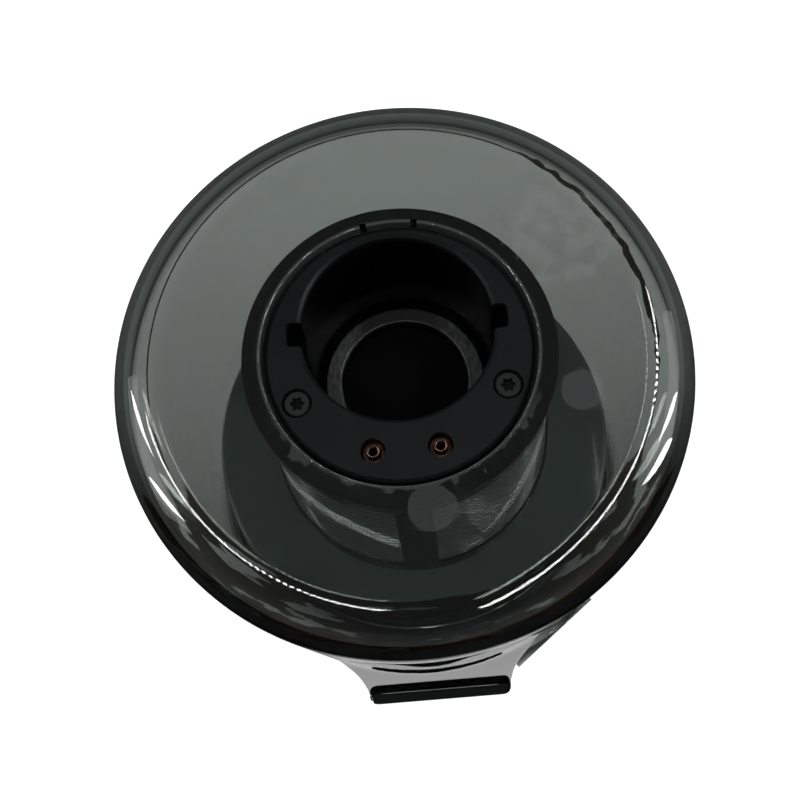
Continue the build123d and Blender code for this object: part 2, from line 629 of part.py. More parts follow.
def cone_cluster():
    """The ring of second-stage cones on one plate, tips to the floor, with side inlets."""
    plate = tube(STACK_R, CONE_PLATE_IN_R, CONE_PLATE_Z, CONE_WIDE_Z)
    outer = cone(CONE_WIDE_R + CONE_WALL, CONE_TIP_R + CONE_WALL, CONE_WIDE_Z, CONE_TIP_Z)
    bore = cone(CONE_WIDE_R, CONE_TIP_R, CONE_WIDE_Z, CONE_TIP_Z)
    bore += drum(CONE_WIDE_R, CONE_PLATE_Z, CONE_WIDE_Z)
    width, height = CONE_INLET
    inlet = block((-CONE_WIDE_R - CONE_WALL, 0), (CONE_WIDE_R - width, CONE_WIDE_R),
                  (CONE_WIDE_Z, CONE_WIDE_Z + height))
    at = Pos(CONE_PITCH_R, 0, 0)
    for shape in around(at * outer, CONES):
        plate += shape
    for shape in around(at * (bore + inlet), CONES):
        plate -= shape
    for hole in unit_screw_holes(CONE_PLATE_Z, CONE_WIDE_Z):
        plate -= hole
    return plate


def unit_screw_holes(low, high):
    """Clearance holes for the stack's screws."""
    return around(Pos(UNIT_SCREW_R, 0, 0) * drum(SCREW_SHANK_R + SNUG, low, high), UNIT_SCREWS, pillar_deg())


def cone_gasket():
    """The rubber sheet between the cones' plate and the vortex plate."""
    sheet = tube(STACK_R, HUB_R - HUB_WALL, CONE_GASKET_Z, CONE_PLATE_Z)
    for hole in around(Pos(CONE_PITCH_R, 0, 0) * drum(CONE_WIDE_R, CONE_GASKET_Z, CONE_PLATE_Z), CONES):
        sheet -= hole
    for hole in unit_screw_holes(CONE_GASKET_Z, CONE_PLATE_Z):
        sheet -= hole
    return sheet


def vortex_plate():
    """The plate of vortex finders, with the hub that carries the rear contacts."""
    top = CONE_GASKET_Z
    plate = drum(STACK_R, VORTEX_Z, top) + drum(HUB_R, HUB_END_Z, top)
    plate -= drum(HUB_R - HUB_WALL, HUB_END_Z + HUB_WALL, top)
    at = Pos(CONE_PITCH_R, 0, 0)
    for finder in around(at * drum(VORTEX_R, VORTEX_Z, top + VORTEX_LENGTH), CONES):
        plate += finder
    bore = at * drum(VORTEX_R - VORTEX_WALL, VORTEX_Z, top + VORTEX_LENGTH)
    for hole in around(bore, CONES) + unit_screw_holes(VORTEX_Z, top):
        plate -= hole
    window = block((-HOLDER_HALF_X, HOLDER_HALF_X), HOLDER_Y, (HUB_END_Z, HUB_END_Z + HUB_WALL))
    return plate - fillet(window.edges().filter_by(Axis.Z), HOLDER_CORNER_R)


def unit_screws():
    """Screws through the stack into the housing's pillars."""
    one = screw(SCREW_HEAD_R, SCREW_HEAD, SCREW_SHANK_R, CONE_WIDE_Z - VORTEX_Z + SCREW_LENGTH)
    placed = Pos(UNIT_SCREW_R, 0, VORTEX_Z) * Rot(180, 0, 0) * one
    return around(placed, UNIT_SCREWS, pillar_deg())


def lock_ring():
    """The ring welded to the housing's rear edge: tabs, seal rim with finger grips, filter seat."""
    ring = tube(RING_R, RING_IN_R, RING_REAR_Z, RING_FRONT_Z)
    ring += tube(RING_RIM_R, RING_IN_R, RING_REAR_Z, RING_REAR_Z + RING_RIM_LENGTH)
    ring += tube(RING_R, RING_FLANGE_INNER_R, RING_FLANGE_Z, RING_FRONT_Z)
    tab_r = cup_inner_r(TAB_Z + TAB_THICK) - SLIP
    tab = tube(tab_r, RING_IN_R, TAB_Z, TAB_Z + TAB_THICK)
    tab &= sector(-TAB_DEG / 2, TAB_DEG / 2, REAR_R, TAB_Z, TAB_Z + TAB_THICK)
    ring += around(tab, TABS, 90)
    grip = Pos(RING_IN_R - GRIP_SET, 0, 0) * drum(GRIP_R, RING_REAR_Z, RING_REAR_Z + RING_RIM_LENGTH)
    for one in around(grip, GRIPS, 360 / GRIPS / 2):
        ring -= one
    return ring - tube(RING_RIM_R, RING_RIM_R - SLIP, *REAR_SEAL_Z)


def rear_seal():
    """The rubber lip round the lock ring's rim, which closes the cup."""
    ring = tube(cup_inner_r(REAR_SEAL_Z[1]) - REAR_SEAL_GAP, RING_RIM_R - SLIP, *REAR_SEAL_Z)
    rims = ring.edges().filter_by(GeomType.CIRCLE).sort_by(SortBy.RADIUS)[-2:]
    return fillet(rims, REAR_SEAL_EDGE_R)


def filter_frame():
    """The outlet filter's cassette: two rims, spokes and a pull tab."""
    rear, front = FILTER_REAR_Z, FILTER_FRONT_Z
    frame = tube(FILTER_R, FILTER_R - FILTER_RIM, rear, front)
    frame += tube(FILTER_IN_R + FILTER_RIM, FILTER_IN_R, rear, front)
    inner, outer = FILTER_IN_R + FILTER_RIM / 2, FILTER_R - FILTER_RIM / 2
    spoke = block((inner, outer), (-SPOKE_WIDTH / 2, SPOKE_WIDTH / 2), (rear, rear + SPOKE_HEIGHT))
    frame += around(spoke, FILTER_SPOKES, 90)
    length, thick, height = FILTER_TAB
    middle = (inner + outer) / 2
    tab = block((middle - length / 2, middle + length / 2), (-thick / 2, thick / 2),
                (BLADE_TIP_Z, BLADE_TIP_Z + height))
    return frame + Rot(0, 0, 90) * tab


def filter_media():
    """The pleated pack, as a plain ring between the cassette's rims."""
    outer, inner = FILTER_R - FILTER_RIM - SNUG, FILTER_IN_R + FILTER_RIM + SNUG
    return tube(outer, inner, BLADE_TIP_Z + FILTER_TAB[2] + SNUG, FILTER_FRONT_Z)


def filter_seal():
    """The rubber ring between the cassette and the lock ring's seat."""
    return tube(FILTER_R, FILTER_R - 2 * FILTER_RIM, FILTER_FRONT_Z, RING_FLANGE_Z)


def save(name, shape):
    """Writes one piece, or a group of like pieces, under its name."""
    solids = shape if isinstance(shape, list) else [shape]
    export_step(Compound(children=[s for one in solids for s in one.solids()]), f"parts/{name}.step")


os.makedirs("parts", exist_ok=True)
screen = screen_sheets()
save("dust_cup", dust_cup())
save("face_plate", face_plate())
save("plate_screws", plate_screws())
save("contact_sleeves", contact_sleeves())
save("contact_holder", contact_holder())
save("contact_wires", contact_wires())
save("rear_contact_block", rear_contact_block())
save("rear_contact_blades", blade_bodies())
save("inlet_duct", inlet_duct())
save("inlet_elbow", inlet_elbow())
save("inlet_seal", inlet_seal())
save("inlet_flap", inlet_flap())
save("flap_pin", flap_pin())
save("front_gasket", front_gasket())
save("mesh_screen", screen)
save("shroud_frame", shroud_frame(screen))
save("shroud_screws", shroud_screws())
save("cyclone_housing", cyclone_housing())
save("cone_cluster", cone_cluster())
save("cone_gasket", cone_gasket())
save("vortex_plate", vortex_plate())
save("unit_screws", unit_screws())
save("lock_ring", lock_ring())
save("rear_seal", rear_seal())
save("filter_frame", filter_frame())
save("filter_media", filter_media())
save("filter_seal", filter_seal())
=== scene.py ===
from math import cos, pi, radians, sin, sqrt, tan

import bpy
import numpy as np
from mathutils import Matrix, Vector


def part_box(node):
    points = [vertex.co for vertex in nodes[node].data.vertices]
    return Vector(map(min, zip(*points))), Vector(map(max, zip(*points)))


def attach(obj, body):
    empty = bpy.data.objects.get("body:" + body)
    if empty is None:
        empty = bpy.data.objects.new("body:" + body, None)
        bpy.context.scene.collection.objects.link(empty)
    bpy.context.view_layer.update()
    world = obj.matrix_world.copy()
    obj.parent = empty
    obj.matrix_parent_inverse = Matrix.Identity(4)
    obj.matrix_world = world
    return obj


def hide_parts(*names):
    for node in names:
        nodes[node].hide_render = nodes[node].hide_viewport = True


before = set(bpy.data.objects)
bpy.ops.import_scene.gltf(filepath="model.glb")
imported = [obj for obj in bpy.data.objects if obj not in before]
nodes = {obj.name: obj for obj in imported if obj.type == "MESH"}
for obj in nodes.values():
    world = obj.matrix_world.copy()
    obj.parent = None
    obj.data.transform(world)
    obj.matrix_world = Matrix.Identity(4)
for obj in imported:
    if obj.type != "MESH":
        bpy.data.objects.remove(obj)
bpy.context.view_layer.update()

# Clear cup
# The see-through bin, moulded in one piece of smoke-grey plastic and polished: a face with a round hole,
# a rounded corner, a drafted wall, a spigot for the motor unit, ledges for the twist lock and a latch lug.
FACE_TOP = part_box("dust_cup")[1].z
FACE_WALL = 0.0025
CUP_WALL = 0.0026
CORNER_R = 0.010
RIM_R = 0.0575
DRAFT = tan(radians(0.4))
REAR_R = RIM_R + DRAFT * (FACE_TOP - CORNER_R)
REAR_IN_R = REAR_R - CUP_WALL
SPIGOT_R = REAR_R - 0.001
SPIGOT_END = 0.008
HOLE_R = 0.0266
HOLE_EDGE = 0.0004
NOTCH_SPREAD = 0.005
NOTCH_WIDTH = 0.0012
NOTCH_DEPTH = 0.0008
INNER_CORNER_R = 0.0086
LUG_FRONT = REAR_R + 0.0061
LUG_SHELF = LUG_FRONT - 0.0025
LUG_X = 0.0013
LUG_HALF_WIDTH = 0.0177
LUG_SHOULDER = 0.0585
LUG_FLARE = 0.005
LUG_ROOT = sqrt((REAR_R - CUP_WALL / 2) ** 2 - (LUG_X + LUG_HALF_WIDTH + LUG_FLARE) ** 2)
LUG_ROUNDING = 0.0024
LUG_EDGE = 0.0005
LUG_LIP_Z = 0.033
LUG_RAMP_SLOPE = tan(radians(11.5))
WEB_DEG = -53.5
WEB_OUT = REAR_R + 0.0013
WEB_ENDS = (-0.0175, 0.008)
WEB_THICK = 0.0024
POCKET_HALF_WIDTH = 0.0147
POCKET_FRONT = LUG_FRONT - 0.0024
POCKET_INNER_R = REAR_R + 0.0003
POCKET_END = 0.0305
LEDGE_Z = (0.0071, 0.0106)
STOP_TOP_Z = 0.0139
LEDGE_REACH = 0.0024
LEDGE_DEG = (-9.0, 11.62)
STOPS_DEG = ((9.62, 11.62), (-33.62, -31.62))
LOCK_BEARINGS = (90.0, 210.0, 330.0)
BEARING_STEP = 1.25
LUG_BEARINGS = (12.0, 24.0, 0.25)
EDGE_BEARINGS = (-0.3, -0.08, 0.08, 0.3)
FACE_SPAN = 0.02
INNER_Z = (0.004, 0.018)
NO_POCKET = (0.3, 0.7)
POCKET_EDGE = 0.01
SHARP_CREASE = radians(28)
HOLD = 0.00006


def surface(name, points, wrap=(False, False), flip=False):
    """A mesh from a grid of points: rows by columns by three, each neighbouring four joined as one face."""
    rows, columns = points.shape[:2]
    index = np.arange(rows * columns).reshape(rows, columns)
    if wrap[0]:
        index = np.concatenate([index, index[:1]], 0)
    if wrap[1]:
        index = np.concatenate([index, index[:, :1]], 1)
    faces = np.stack([index[:-1, :-1], index[:-1, 1:], index[1:, 1:], index[1:, :-1]], -1).reshape(-1, 4)
    return faces_mesh(name, points.reshape(-1, 3), faces[:, ::-1] if flip else faces)


def faces_mesh(name, points, faces):
    """A smooth-shaded object at the origin from points and equal-sided faces."""
    count, sides = faces.shape
    mesh = bpy.data.meshes.new(name)
    mesh.vertices.add(len(points))
    mesh.vertices.foreach_set("co", np.asarray(points, np.float32).ravel())
    mesh.loops.add(count * sides)
    mesh.loops.foreach_set("vertex_index", faces.astype(np.int32).ravel())
    mesh.polygons.add(count)
    mesh.polygons.foreach_set("loop_start", np.arange(0, count * sides, sides, dtype=np.int32))
    mesh.polygons.foreach_set("use_smooth", np.ones(count, bool))
    mesh.update(calc_edges=True)
    piece = bpy.data.objects.new(name, mesh)
    bpy.context.scene.collection.objects.link(piece)
    return piece


def steps(count, length=None):
    """Shares from 0 to 1 in even steps, with one more close to each end where the length is given."""
    even = np.linspace(0, 1, count)
    if length is None:
        return even[:, None]
    near = HOLD / length
    return np.concatenate([[0, near], even[1:-1], [1 - near, 1]])[:, None]


def soft_max(a, b, fillet):
    """The larger of two radii, with a rounded hollow where they cross."""
    return np.maximum(a, b) + np.maximum(fillet - np.abs(a - b), 0) ** 2 / (4 * fillet)


def lug_outline(turn, front):
    """The lug's polar radius at each bearing, in degrees from -Y: a flat front, straight sides and flares
    that lead to the wall. Each corner is a curve that leaves its two sides a set length before they meet."""
    left, right = LUG_X - LUG_HALF_WIDTH, LUG_X + LUG_HALF_WIDTH
    corners = np.array([(left - LUG_FLARE, LUG_ROOT), (left, LUG_SHOULDER), (left, front), (right, front),
                        (right, LUG_SHOULDER), (right + LUG_FLARE, LUG_ROOT)])
    before, here, after = corners[:-2, None], corners[1:-1, None], corners[2:, None]
    t = np.linspace(0, 1, 12)[:, None]
    back, on = (LUG_ROUNDING * (end - here) / np.linalg.norm(end - here, axis=-1, keepdims=True)
                for end in (before, after))
    curve = (here + (1 - t) ** 2 * back + t ** 2 * on).reshape(-1, 2)
    path = np.concatenate([corners[:1], curve, corners[-1:]])
    return np.interp(turn, np.degrees(np.arctan2(path[:, 0], path[:, 1])), np.hypot(*path.T), 0, 0)


def turn_deg(bearing, centre):
    """Signed degrees from a centre bearing, from -180 to 180."""
    return np.degrees(np.angle(np.exp(1j * (bearing - radians(centre)))))


def cup_bearings():
    """Bearings round the cup: even steps, with more where the lug, its web, the notches and the ledges have
    edges."""
    lug = [-90 + side * at for side in (-1, 1) for at in np.arange(*LUG_BEARINGS)]
    notch_at = np.degrees(np.arcsin(NOTCH_SPREAD / HOLE_R))
    notch_half = np.degrees(NOTCH_WIDTH / 2 / HOLE_R)
    edges = [90 + side * notch_at + end * notch_half for side in (-1, 1) for end in (-1, 1)]
    edges += [at + end for at in LOCK_BEARINGS for pair in (LEDGE_DEG, *STOPS_DEG) for end in pair]
    edges += [-90 + np.degrees(np.arctan2(LUG_X + side * POCKET_HALF_WIDTH, POCKET_FRONT))
              for side in (-1, 1)]
    edges += [WEB_DEG + np.degrees(np.arctan2(WEB_ENDS[1], WEB_OUT))]
    close = [edge + step for edge in edges for step in EDGE_BEARINGS]
    every = np.concatenate([np.arange(0, 360, BEARING_STEP), lug, close]) % 360
    return np.radians(np.unique(np.round(every, 2)))


def between(value, ends):
    """1 where a turn, length or height lies between two ends, and 0 outside."""
    return ((value > ends[0]) & (value < ends[1])).astype(float)


def cup_points():
    """The closed section of the cup, carried round Z: up the hole's edge, out over the face, down the
    corner, wall, lug and spigot, and back up the inner wall. The lug swells the outer wall, by the smaller
    of its section's radius and its outline's polar radius, and the pocket lifts part of its rear face."""
    t = cup_bearings()
    from_notch = np.abs(np.abs(HOLE_R * np.cos(t)) - NOTCH_SPREAD)
    hole = HOLE_R + NOTCH_DEPTH * ((from_notch < NOTCH_WIDTH / 2) & (np.sin(t) > 0))
    off_lug = turn_deg(t, -90)
    across = np.tan(np.radians(np.clip(off_lug, -60, 60)))
    in_pocket = (np.abs(POCKET_FRONT * across - LUG_X) < POCKET_HALF_WIDTH).astype(float)
    along_web = WEB_OUT * np.tan(np.radians(np.clip(turn_deg(t, WEB_DEG), -60, 60)))
    web = between(along_web, WEB_ENDS) * np.hypot(WEB_OUT, along_web)
    level = np.ones_like(t)
    corner_z = FACE_TOP - CORNER_R
    corner_c = RIM_R - CORNER_R
    face_in = FACE_TOP - FACE_WALL
    inner_corner_z = face_in - INNER_CORNER_R
    inner_c = REAR_IN_R - DRAFT * inner_corner_z - INNER_CORNER_R
    r, z = [], []

    def add(radii, heights):
        radii, heights = np.broadcast_arrays(np.atleast_2d(radii * level), np.atleast_2d(heights * level))
        r.append(radii)
        z.append(heights)

    share = steps(3, FACE_WALL)
    add(hole, face_in + (FACE_WALL - HOLE_EDGE) * share[:-1])
    arc = steps(6) * pi / 2
    add(hole + HOLE_EDGE * (1 - np.cos(arc)), FACE_TOP - HOLE_EDGE * (1 - np.sin(arc)))
    share = steps(14, FACE_SPAN)[1:-1]
    add(hole + HOLE_EDGE + (corner_c - hole - HOLE_EDGE) * share, FACE_TOP)
    arc = steps(30) * pi / 2
    add(corner_c + CORNER_R * np.sin(arc), corner_z + CORNER_R * np.cos(arc))
    ramp_z = LUG_LIP_Z + (LUG_SHELF - LUG_ROOT) / LUG_RAMP_SLOPE
    plain = corner_z + (ramp_z - corner_z) * steps(5)[1:]
    add(REAR_R - DRAFT * plain, plain)
    arc = steps(5) * pi / 2
    web_end = LUG_LIP_Z - WEB_THICK
    lug_z = np.concatenate([ramp_z + (LUG_LIP_Z - ramp_z) * steps(22)[1:],
                            LUG_LIP_Z - HOLD * steps(4)[1:],
                            LUG_LIP_Z - 2 * HOLD - LUG_EDGE * (1 - np.cos(arc)),
                            web_end + HOLD * np.array([[1], [-1]]),
                            SPIGOT_END + (web_end - 2 * HOLD - SPIGOT_END) * (1 - steps(8)[1:-1]),
                            SPIGOT_END + LUG_EDGE * (1 - np.sin(arc))])
    front = np.concatenate([LUG_ROOT + (LUG_SHELF - LUG_ROOT) * steps(22)[1:],
                            LUG_SHELF + (LUG_FRONT - LUG_EDGE - LUG_SHELF) * steps(4)[1:],
                            LUG_FRONT - LUG_EDGE * (1 - np.sin(arc)),
                            LUG_FRONT * np.ones((8, 1)),
                            LUG_FRONT - LUG_EDGE * (1 - np.cos(arc))])
    swell = np.minimum(front * np.hypot(1, across), lug_outline(off_lug, LUG_FRONT))
    swell = np.maximum(swell, web * between(lug_z, (web_end, LUG_LIP_Z - HOLD)))
    wall = soft_max(REAR_R - DRAFT * lug_z, swell, LUG_EDGE)
    add(wall, lug_z)
    edge = wall[-1]
    pocket_out = (edge - POCKET_FRONT * np.hypot(1, across)) / (edge - SPIGOT_R)
    pocket_in = (edge - POCKET_INNER_R) / (edge - SPIGOT_R)
    outer_at = np.where(in_pocket, pocket_out, NO_POCKET[0])
    inner_at = np.where(in_pocket, pocket_in, NO_POCKET[1])
    near = POCKET_EDGE
    at = np.stack([0.5 * outer_at, outer_at - near, outer_at, outer_at + near, inner_at - near, inner_at,
                   inner_at + near, (1 - near) * level, level])
    lift = np.array([0, 0, near, 1, 1, near, 0, 0, 0])[:, None]
    add(edge + (SPIGOT_R - edge) * at, SPIGOT_END + (POCKET_END - SPIGOT_END) * lift * in_pocket)
    share = steps(4, SPIGOT_END)[1:]
    add(SPIGOT_R, SPIGOT_END * (1 - share))
    share = steps(3, SPIGOT_R - REAR_IN_R)[1:]
    add(SPIGOT_R + (REAR_IN_R - SPIGOT_R) * share, 0.0)
    ledge_edges = [edge + side * HOLD for edge in (*LEDGE_Z, STOP_TOP_Z) for side in (-1, 1)]
    inner_z = np.concatenate([[HOLD, INNER_Z[0]], ledge_edges,
                              np.linspace(INNER_Z[1], inner_corner_z, 12)])[:, None]
    ledge = np.zeros((len(inner_z), len(t)))
    for at_deg in LOCK_BEARINGS:
        turn = turn_deg(t, at_deg)
        ledge += between(inner_z, LEDGE_Z) * between(turn, LEDGE_DEG)
        for ends in STOPS_DEG:
            ledge += between(inner_z, (LEDGE_Z[0], STOP_TOP_Z)) * between(turn, ends)
    add(REAR_IN_R - DRAFT * inner_z - LEDGE_REACH * np.minimum(ledge, 1), inner_z)
    arc = steps(30)[1:] * pi / 2
    add(inner_c + INNER_CORNER_R * np.cos(arc), inner_corner_z + INNER_CORNER_R * np.sin(arc))
    share = steps(12, FACE_SPAN)[1:-1]
    add(inner_c + (hole - inner_c) * share, face_in)
    r, z = np.concatenate(r), np.concatenate(z)
    return np.stack([r * np.cos(t), r * np.sin(t), z], -1)


def new_material(name):
    """A node material and its one shader."""
    material = bpy.data.materials.new(name)
    material.use_nodes = True
    return material, material.node_tree.nodes["Principled BSDF"]


def set_sockets(shader, **values):
    """Sets constants on a node's own sockets, each named with underscores for spaces."""
    for name, value in values.items():
        shader.inputs[name.replace("_", " ")].default_value = value


def put(material, kind, inputs=None, **settings):
    """Adds a node, with its settings, and its inputs as constants or as outputs of other nodes."""
    made = material.node_tree.nodes.new("ShaderNode" + kind)
    for name, value in settings.items():
        setattr(made, name, value)
    for name, value in (inputs or {}).items():
        if isinstance(value, bpy.types.NodeSocket):
            material.node_tree.links.new(value, made.inputs[name])
        else:
            made.inputs[name].default_value = value
    return made


def maths(material, operation, *terms):
    """The output of one sum, whose terms are numbers or other outputs."""
    return put(material, "Math", dict(enumerate(terms)), operation=operation).outputs[0]


def arrows(material, operation, *terms):
    """The output of one sum of vectors, whose terms are vectors or other outputs."""
    made = put(material, "VectorMath", dict(enumerate(terms)), operation=operation)
    return made.outputs["Value" if operation in ("LENGTH", "DISTANCE", "DOT_PRODUCT") else "Vector"]


def place_on(material):
    """Object coordinates, which on these pieces are metres in the bin's own frame."""
    return put(material, "TexCoord").outputs["Object"]


def noise(material, place, size, detail=2.0, roughness=0.5):
    """A cloudy pattern from 0 to 1 whose lumps are about the given size in metres."""
    return put(material, "TexNoise", {"Vector": place, "Scale": 1 / size, "Detail": detail,
                                      "Roughness": roughness}).outputs["Fac"]


def ramp_between(material, value, low, high, out_low=0.0, out_high=1.0):
    """A value carried smoothly from one range to another, and held at the ends."""
    return put(material, "MapRange", {"Value": value, "From Min": low, "From Max": high, "To Min": out_low,
                                      "To Max": out_high}, interpolation_type="SMOOTHSTEP").outputs[0]


def bump(material, shader, height, depth):
    """Raises the surface by a pattern, with its depth in metres."""
    made = put(material, "Bump", {"Height": height, "Strength": 1.0, "Distance": depth})
    feed(material, made.outputs[0], shader, "Normal")


def feed(material, output, shader, socket):
    """Leads an output to a shader's socket."""
    material.node_tree.links.new(output, shader.inputs[socket])


def colour_between(material, shader, factor, first, second):
    """Gives a shader a colour between two, by a factor from 0 to 1."""
    tone = put(material, "Mix", {"Factor": factor, "A": first, "B": second}, data_type="RGBA")
    feed(material, tone.outputs["Result"], shader, "Base Color")


SMOKE_TINT = (0.872, 0.8805, 0.876, 1.0)
SMOKE_DENSITY = 2000.0
SMOKE_WAVES = (0.02, 0.00002)
FILM_HAZE = 0.024
FILM_RAGGED = (1 / 260, 0.0022)
FILM_SPOTS = (((0.0037, -0.0310), 0.0046), ((0.0334, -0.0116), 0.0040))
FILM_SPOT_EDGE = 0.0002
FILM_PATCH_AT = (0.034, 0.021)
FILM_PATCH_REACH = (0.020, 0.008)
FILM_PATCH_NEAR = (-0.4, 0.16)
FILM_PATCH_LUMPS = 0.0034
FILM_PATCH_CUT = (0.66, 0.675)
FILM_PATCH_COVER = 0.9
FRINGE_LUMPS = 0.003
FRINGE_REACH = 0.009
FRINGE_CUT = 0.36
FRINGE_Y = (-0.006, -0.020)
MARK_EDGE = 0.0001
HOLE_FROST = 0.035
HOLE_FROST_WIDTH = (0.0007, 0.0004)
RESIDUE_BROWN = (0.020, 0.014, 0.009, 1.0)
RESIDUE_BROWN_AT = 0.04
RESIDUE_R = 0.0487
RESIDUE_DEG = 22.0
RESIDUE_HALF = (0.00016, 0.00060)
RESIDUE_FACING = (0.80, 0.96)
RESIDUE_RAGGED_AT = (0.035, 0.045)
RESIDUE_COVER = 0.75
DUST_STREAKS = (0.006, 0.0016)
DUST_CUT = (0.42, 0.62)
DUST_COVER = 0.45
DUST_Y = (-0.020, -0.040)
DUST_MARGIN = 0.0015


def ragged_film(material, place, axes, warp, out):
    """Where film dulls the face, from 0 to 1: two round spots and a lumpy patch, by the distance from their
    centres, and a fringe of lumps along the lower half of the hole. The noise in warp bends each edge."""
    ragged = arrows(material, "ADD", place, warp)
    marks = 0.0
    for centre, reach in FILM_SPOTS:
        away = arrows(material, "DISTANCE", ragged, (*centre, FACE_TOP))
        spot = ramp_between(material, away, reach, reach - FILM_SPOT_EDGE)
        marks = maths(material, "MAXIMUM", marks, spot)
    away = arrows(material, "DISTANCE", ragged, (*FILM_PATCH_AT, FACE_TOP))
    near = ramp_between(material, away, *FILM_PATCH_REACH, *FILM_PATCH_NEAR)
    lumps = maths(material, "ADD", noise(material, place, FILM_PATCH_LUMPS, 1.0), near)
    patch = ramp_between(material, lumps, *FILM_PATCH_CUT)
    marks = maths(material, "MAXIMUM", marks, maths(material, "MULTIPLY", patch, FILM_PATCH_COVER))
    lumps = maths(material, "SUBTRACT", noise(material, place, FRINGE_LUMPS, 2.0), FRINGE_CUT)
    edge = maths(material, "ADD", maths(material, "MULTIPLY", lumps, FRINGE_REACH), HOLE_R)
    fringe = ramp_between(material, maths(material, "SUBTRACT", edge, out), 0.0, MARK_EDGE)
    lower = ramp_between(material, axes["Y"], *FRINGE_Y)
    marks = maths(material, "MAXIMUM", marks, maths(material, "MULTIPLY", fringe, lower))
    on_face = maths(material, "GREATER_THAN", axes["Z"], FACE_TOP - HOLD)
    return maths(material, "MULTIPLY", marks, on_face)


def corner_residue(material, axes, flat, radius, out):
    """How much dried dirt covers the inside of the corner: a line round the face's edge, widest at one
    bearing and ragged there, and streaks of noise drawn out along the bearing on the lug's side."""
    aim = (cos(radians(RESIDUE_DEG)), sin(radians(RESIDUE_DEG)), 0)
    towards = arrows(material, "DOT_PRODUCT", flat, aim)
    half = ramp_between(material, maths(material, "DIVIDE", towards, out), *RESIDUE_FACING, *RESIDUE_HALF)
    wavy = ramp_between(material, towards, *RESIDUE_RAGGED_AT)
    drawn = put(material, "Mix", {"Factor": wavy, "A": radius, "B": out}).outputs[0]
    off_line = maths(material, "ABSOLUTE", maths(material, "SUBTRACT", drawn, RESIDUE_R))
    inset = maths(material, "SUBTRACT", half, off_line)
    line = ramp_between(material, inset, 0.0, MARK_EDGE, 0.0, RESIDUE_COVER)
    along = maths(material, "MULTIPLY", maths(material, "ARCTAN2", axes["Y"], axes["X"]), DUST_STREAKS[0])
    drawn_out = put(material, "CombineXYZ", {"X": along, "Y": radius}).outputs[0]
    streaks = noise(material, drawn_out, DUST_STREAKS[1], 3.0)
    streaks = ramp_between(material, streaks, *DUST_CUT, 0.0, DUST_COVER)
    streaks = maths(material, "MULTIPLY", streaks, ramp_between(material, axes["Y"], *DUST_Y))
    past_line = maths(material, "GREATER_THAN", radius, RESIDUE_R - DUST_MARGIN)
    residue = maths(material, "MAXIMUM", line, maths(material, "MULTIPLY", streaks, past_line))
    below = maths(material, "LESS_THAN", axes["Z"], FACE_TOP - FACE_WALL + HOLD)
    in_corner = maths(material, "GREATER_THAN", axes["Z"], FACE_TOP - CORNER_R)
    within = maths(material, "LESS_THAN", radius, REAR_IN_R)
    inside = maths(material, "MULTIPLY", below, maths(material, "MULTIPLY", in_corner, within))
    return maths(material, "MULTIPLY", residue, inside)


def clear_smoke():
    """Polished smoke-grey plastic: clear, and absorbing along the light's path. Film on its face, frost
    along the hole and dried dirt inside the corner each stop a share of the light."""
    material, shader = new_material("clear_smoke_plastic")
    set_sockets(shader, Roughness=0.008, IOR=1.56)
    place = place_on(material)
    axes = put(material, "SeparateXYZ", {"Vector": place}).outputs
    grain, reach = FILM_RAGGED
    wobble = put(material, "TexNoise", {"Vector": place, "Scale": 1 / grain, "Detail": 3.0}).outputs["Color"]
    warp = arrows(material, "MULTIPLY", arrows(material, "SUBTRACT", wobble, (0.5, 0.5, 0.5)), (reach,) * 3)
    plain = put(material, "CombineXYZ", {"X": axes["X"], "Y": axes["Y"]}).outputs[0]
    radius = arrows(material, "LENGTH", plain)
    flat = arrows(material, "ADD", plain, warp)
    out = arrows(material, "LENGTH", flat)
    haze = maths(material, "MULTIPLY", ragged_film(material, place, axes, warp, out), FILM_HAZE)
    start, end = HOLE_FROST_WIDTH
    frost = ramp_between(material, radius, HOLE_R + start, HOLE_R + end, 0.0, HOLE_FROST)
    residue = corner_residue(material, axes, flat, radius, out)
    stopped = maths(material, "MAXIMUM", maths(material, "MAXIMUM", haze, frost), residue)
    feed(material, maths(material, "SUBTRACT", 1.0, stopped), shader, "Transmission Weight")
    brown = ramp_between(material, residue, 0.0, RESIDUE_BROWN_AT)
    colour_between(material, shader, brown, (1, 1, 1, 1), RESIDUE_BROWN)
    size, depth = SMOKE_WAVES
    bump(material, shader, noise(material, place, size, 1.0), depth)
    absorb = put(material, "VolumeAbsorption", {"Color": SMOKE_TINT, "Density": SMOKE_DENSITY})
    output = material.node_tree.nodes["Material Output"]
    feed(material, absorb.outputs[0], output, "Volume")
    return material


cup = surface("clear_cup", cup_points(), wrap=(True, True), flip=True)
cup.data.set_sharp_from_angle(angle=SHARP_CREASE)
cup.data.materials.append(clear_smoke())
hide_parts("dust_cup")
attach(cup, "bin")

# Face plate, wand socket and elbow
# Satin black moulded plastic: the round plate with its keyways and counterbores, the socket under it that
# takes the wand, and the elbow welded below, which turns the air sideways. Two screws hold the stack.
PLATE_BLACK = (0.0040, 0.0046, 0.0050)
DUCT_BLACK = (0.0010, 0.0011, 0.0012)
GLOSS_CLOUDS = 0.014
TONE_CLOUDS = 0.03
TONE_DRIFT = 0.1
FINE_GRAIN = 0.000001


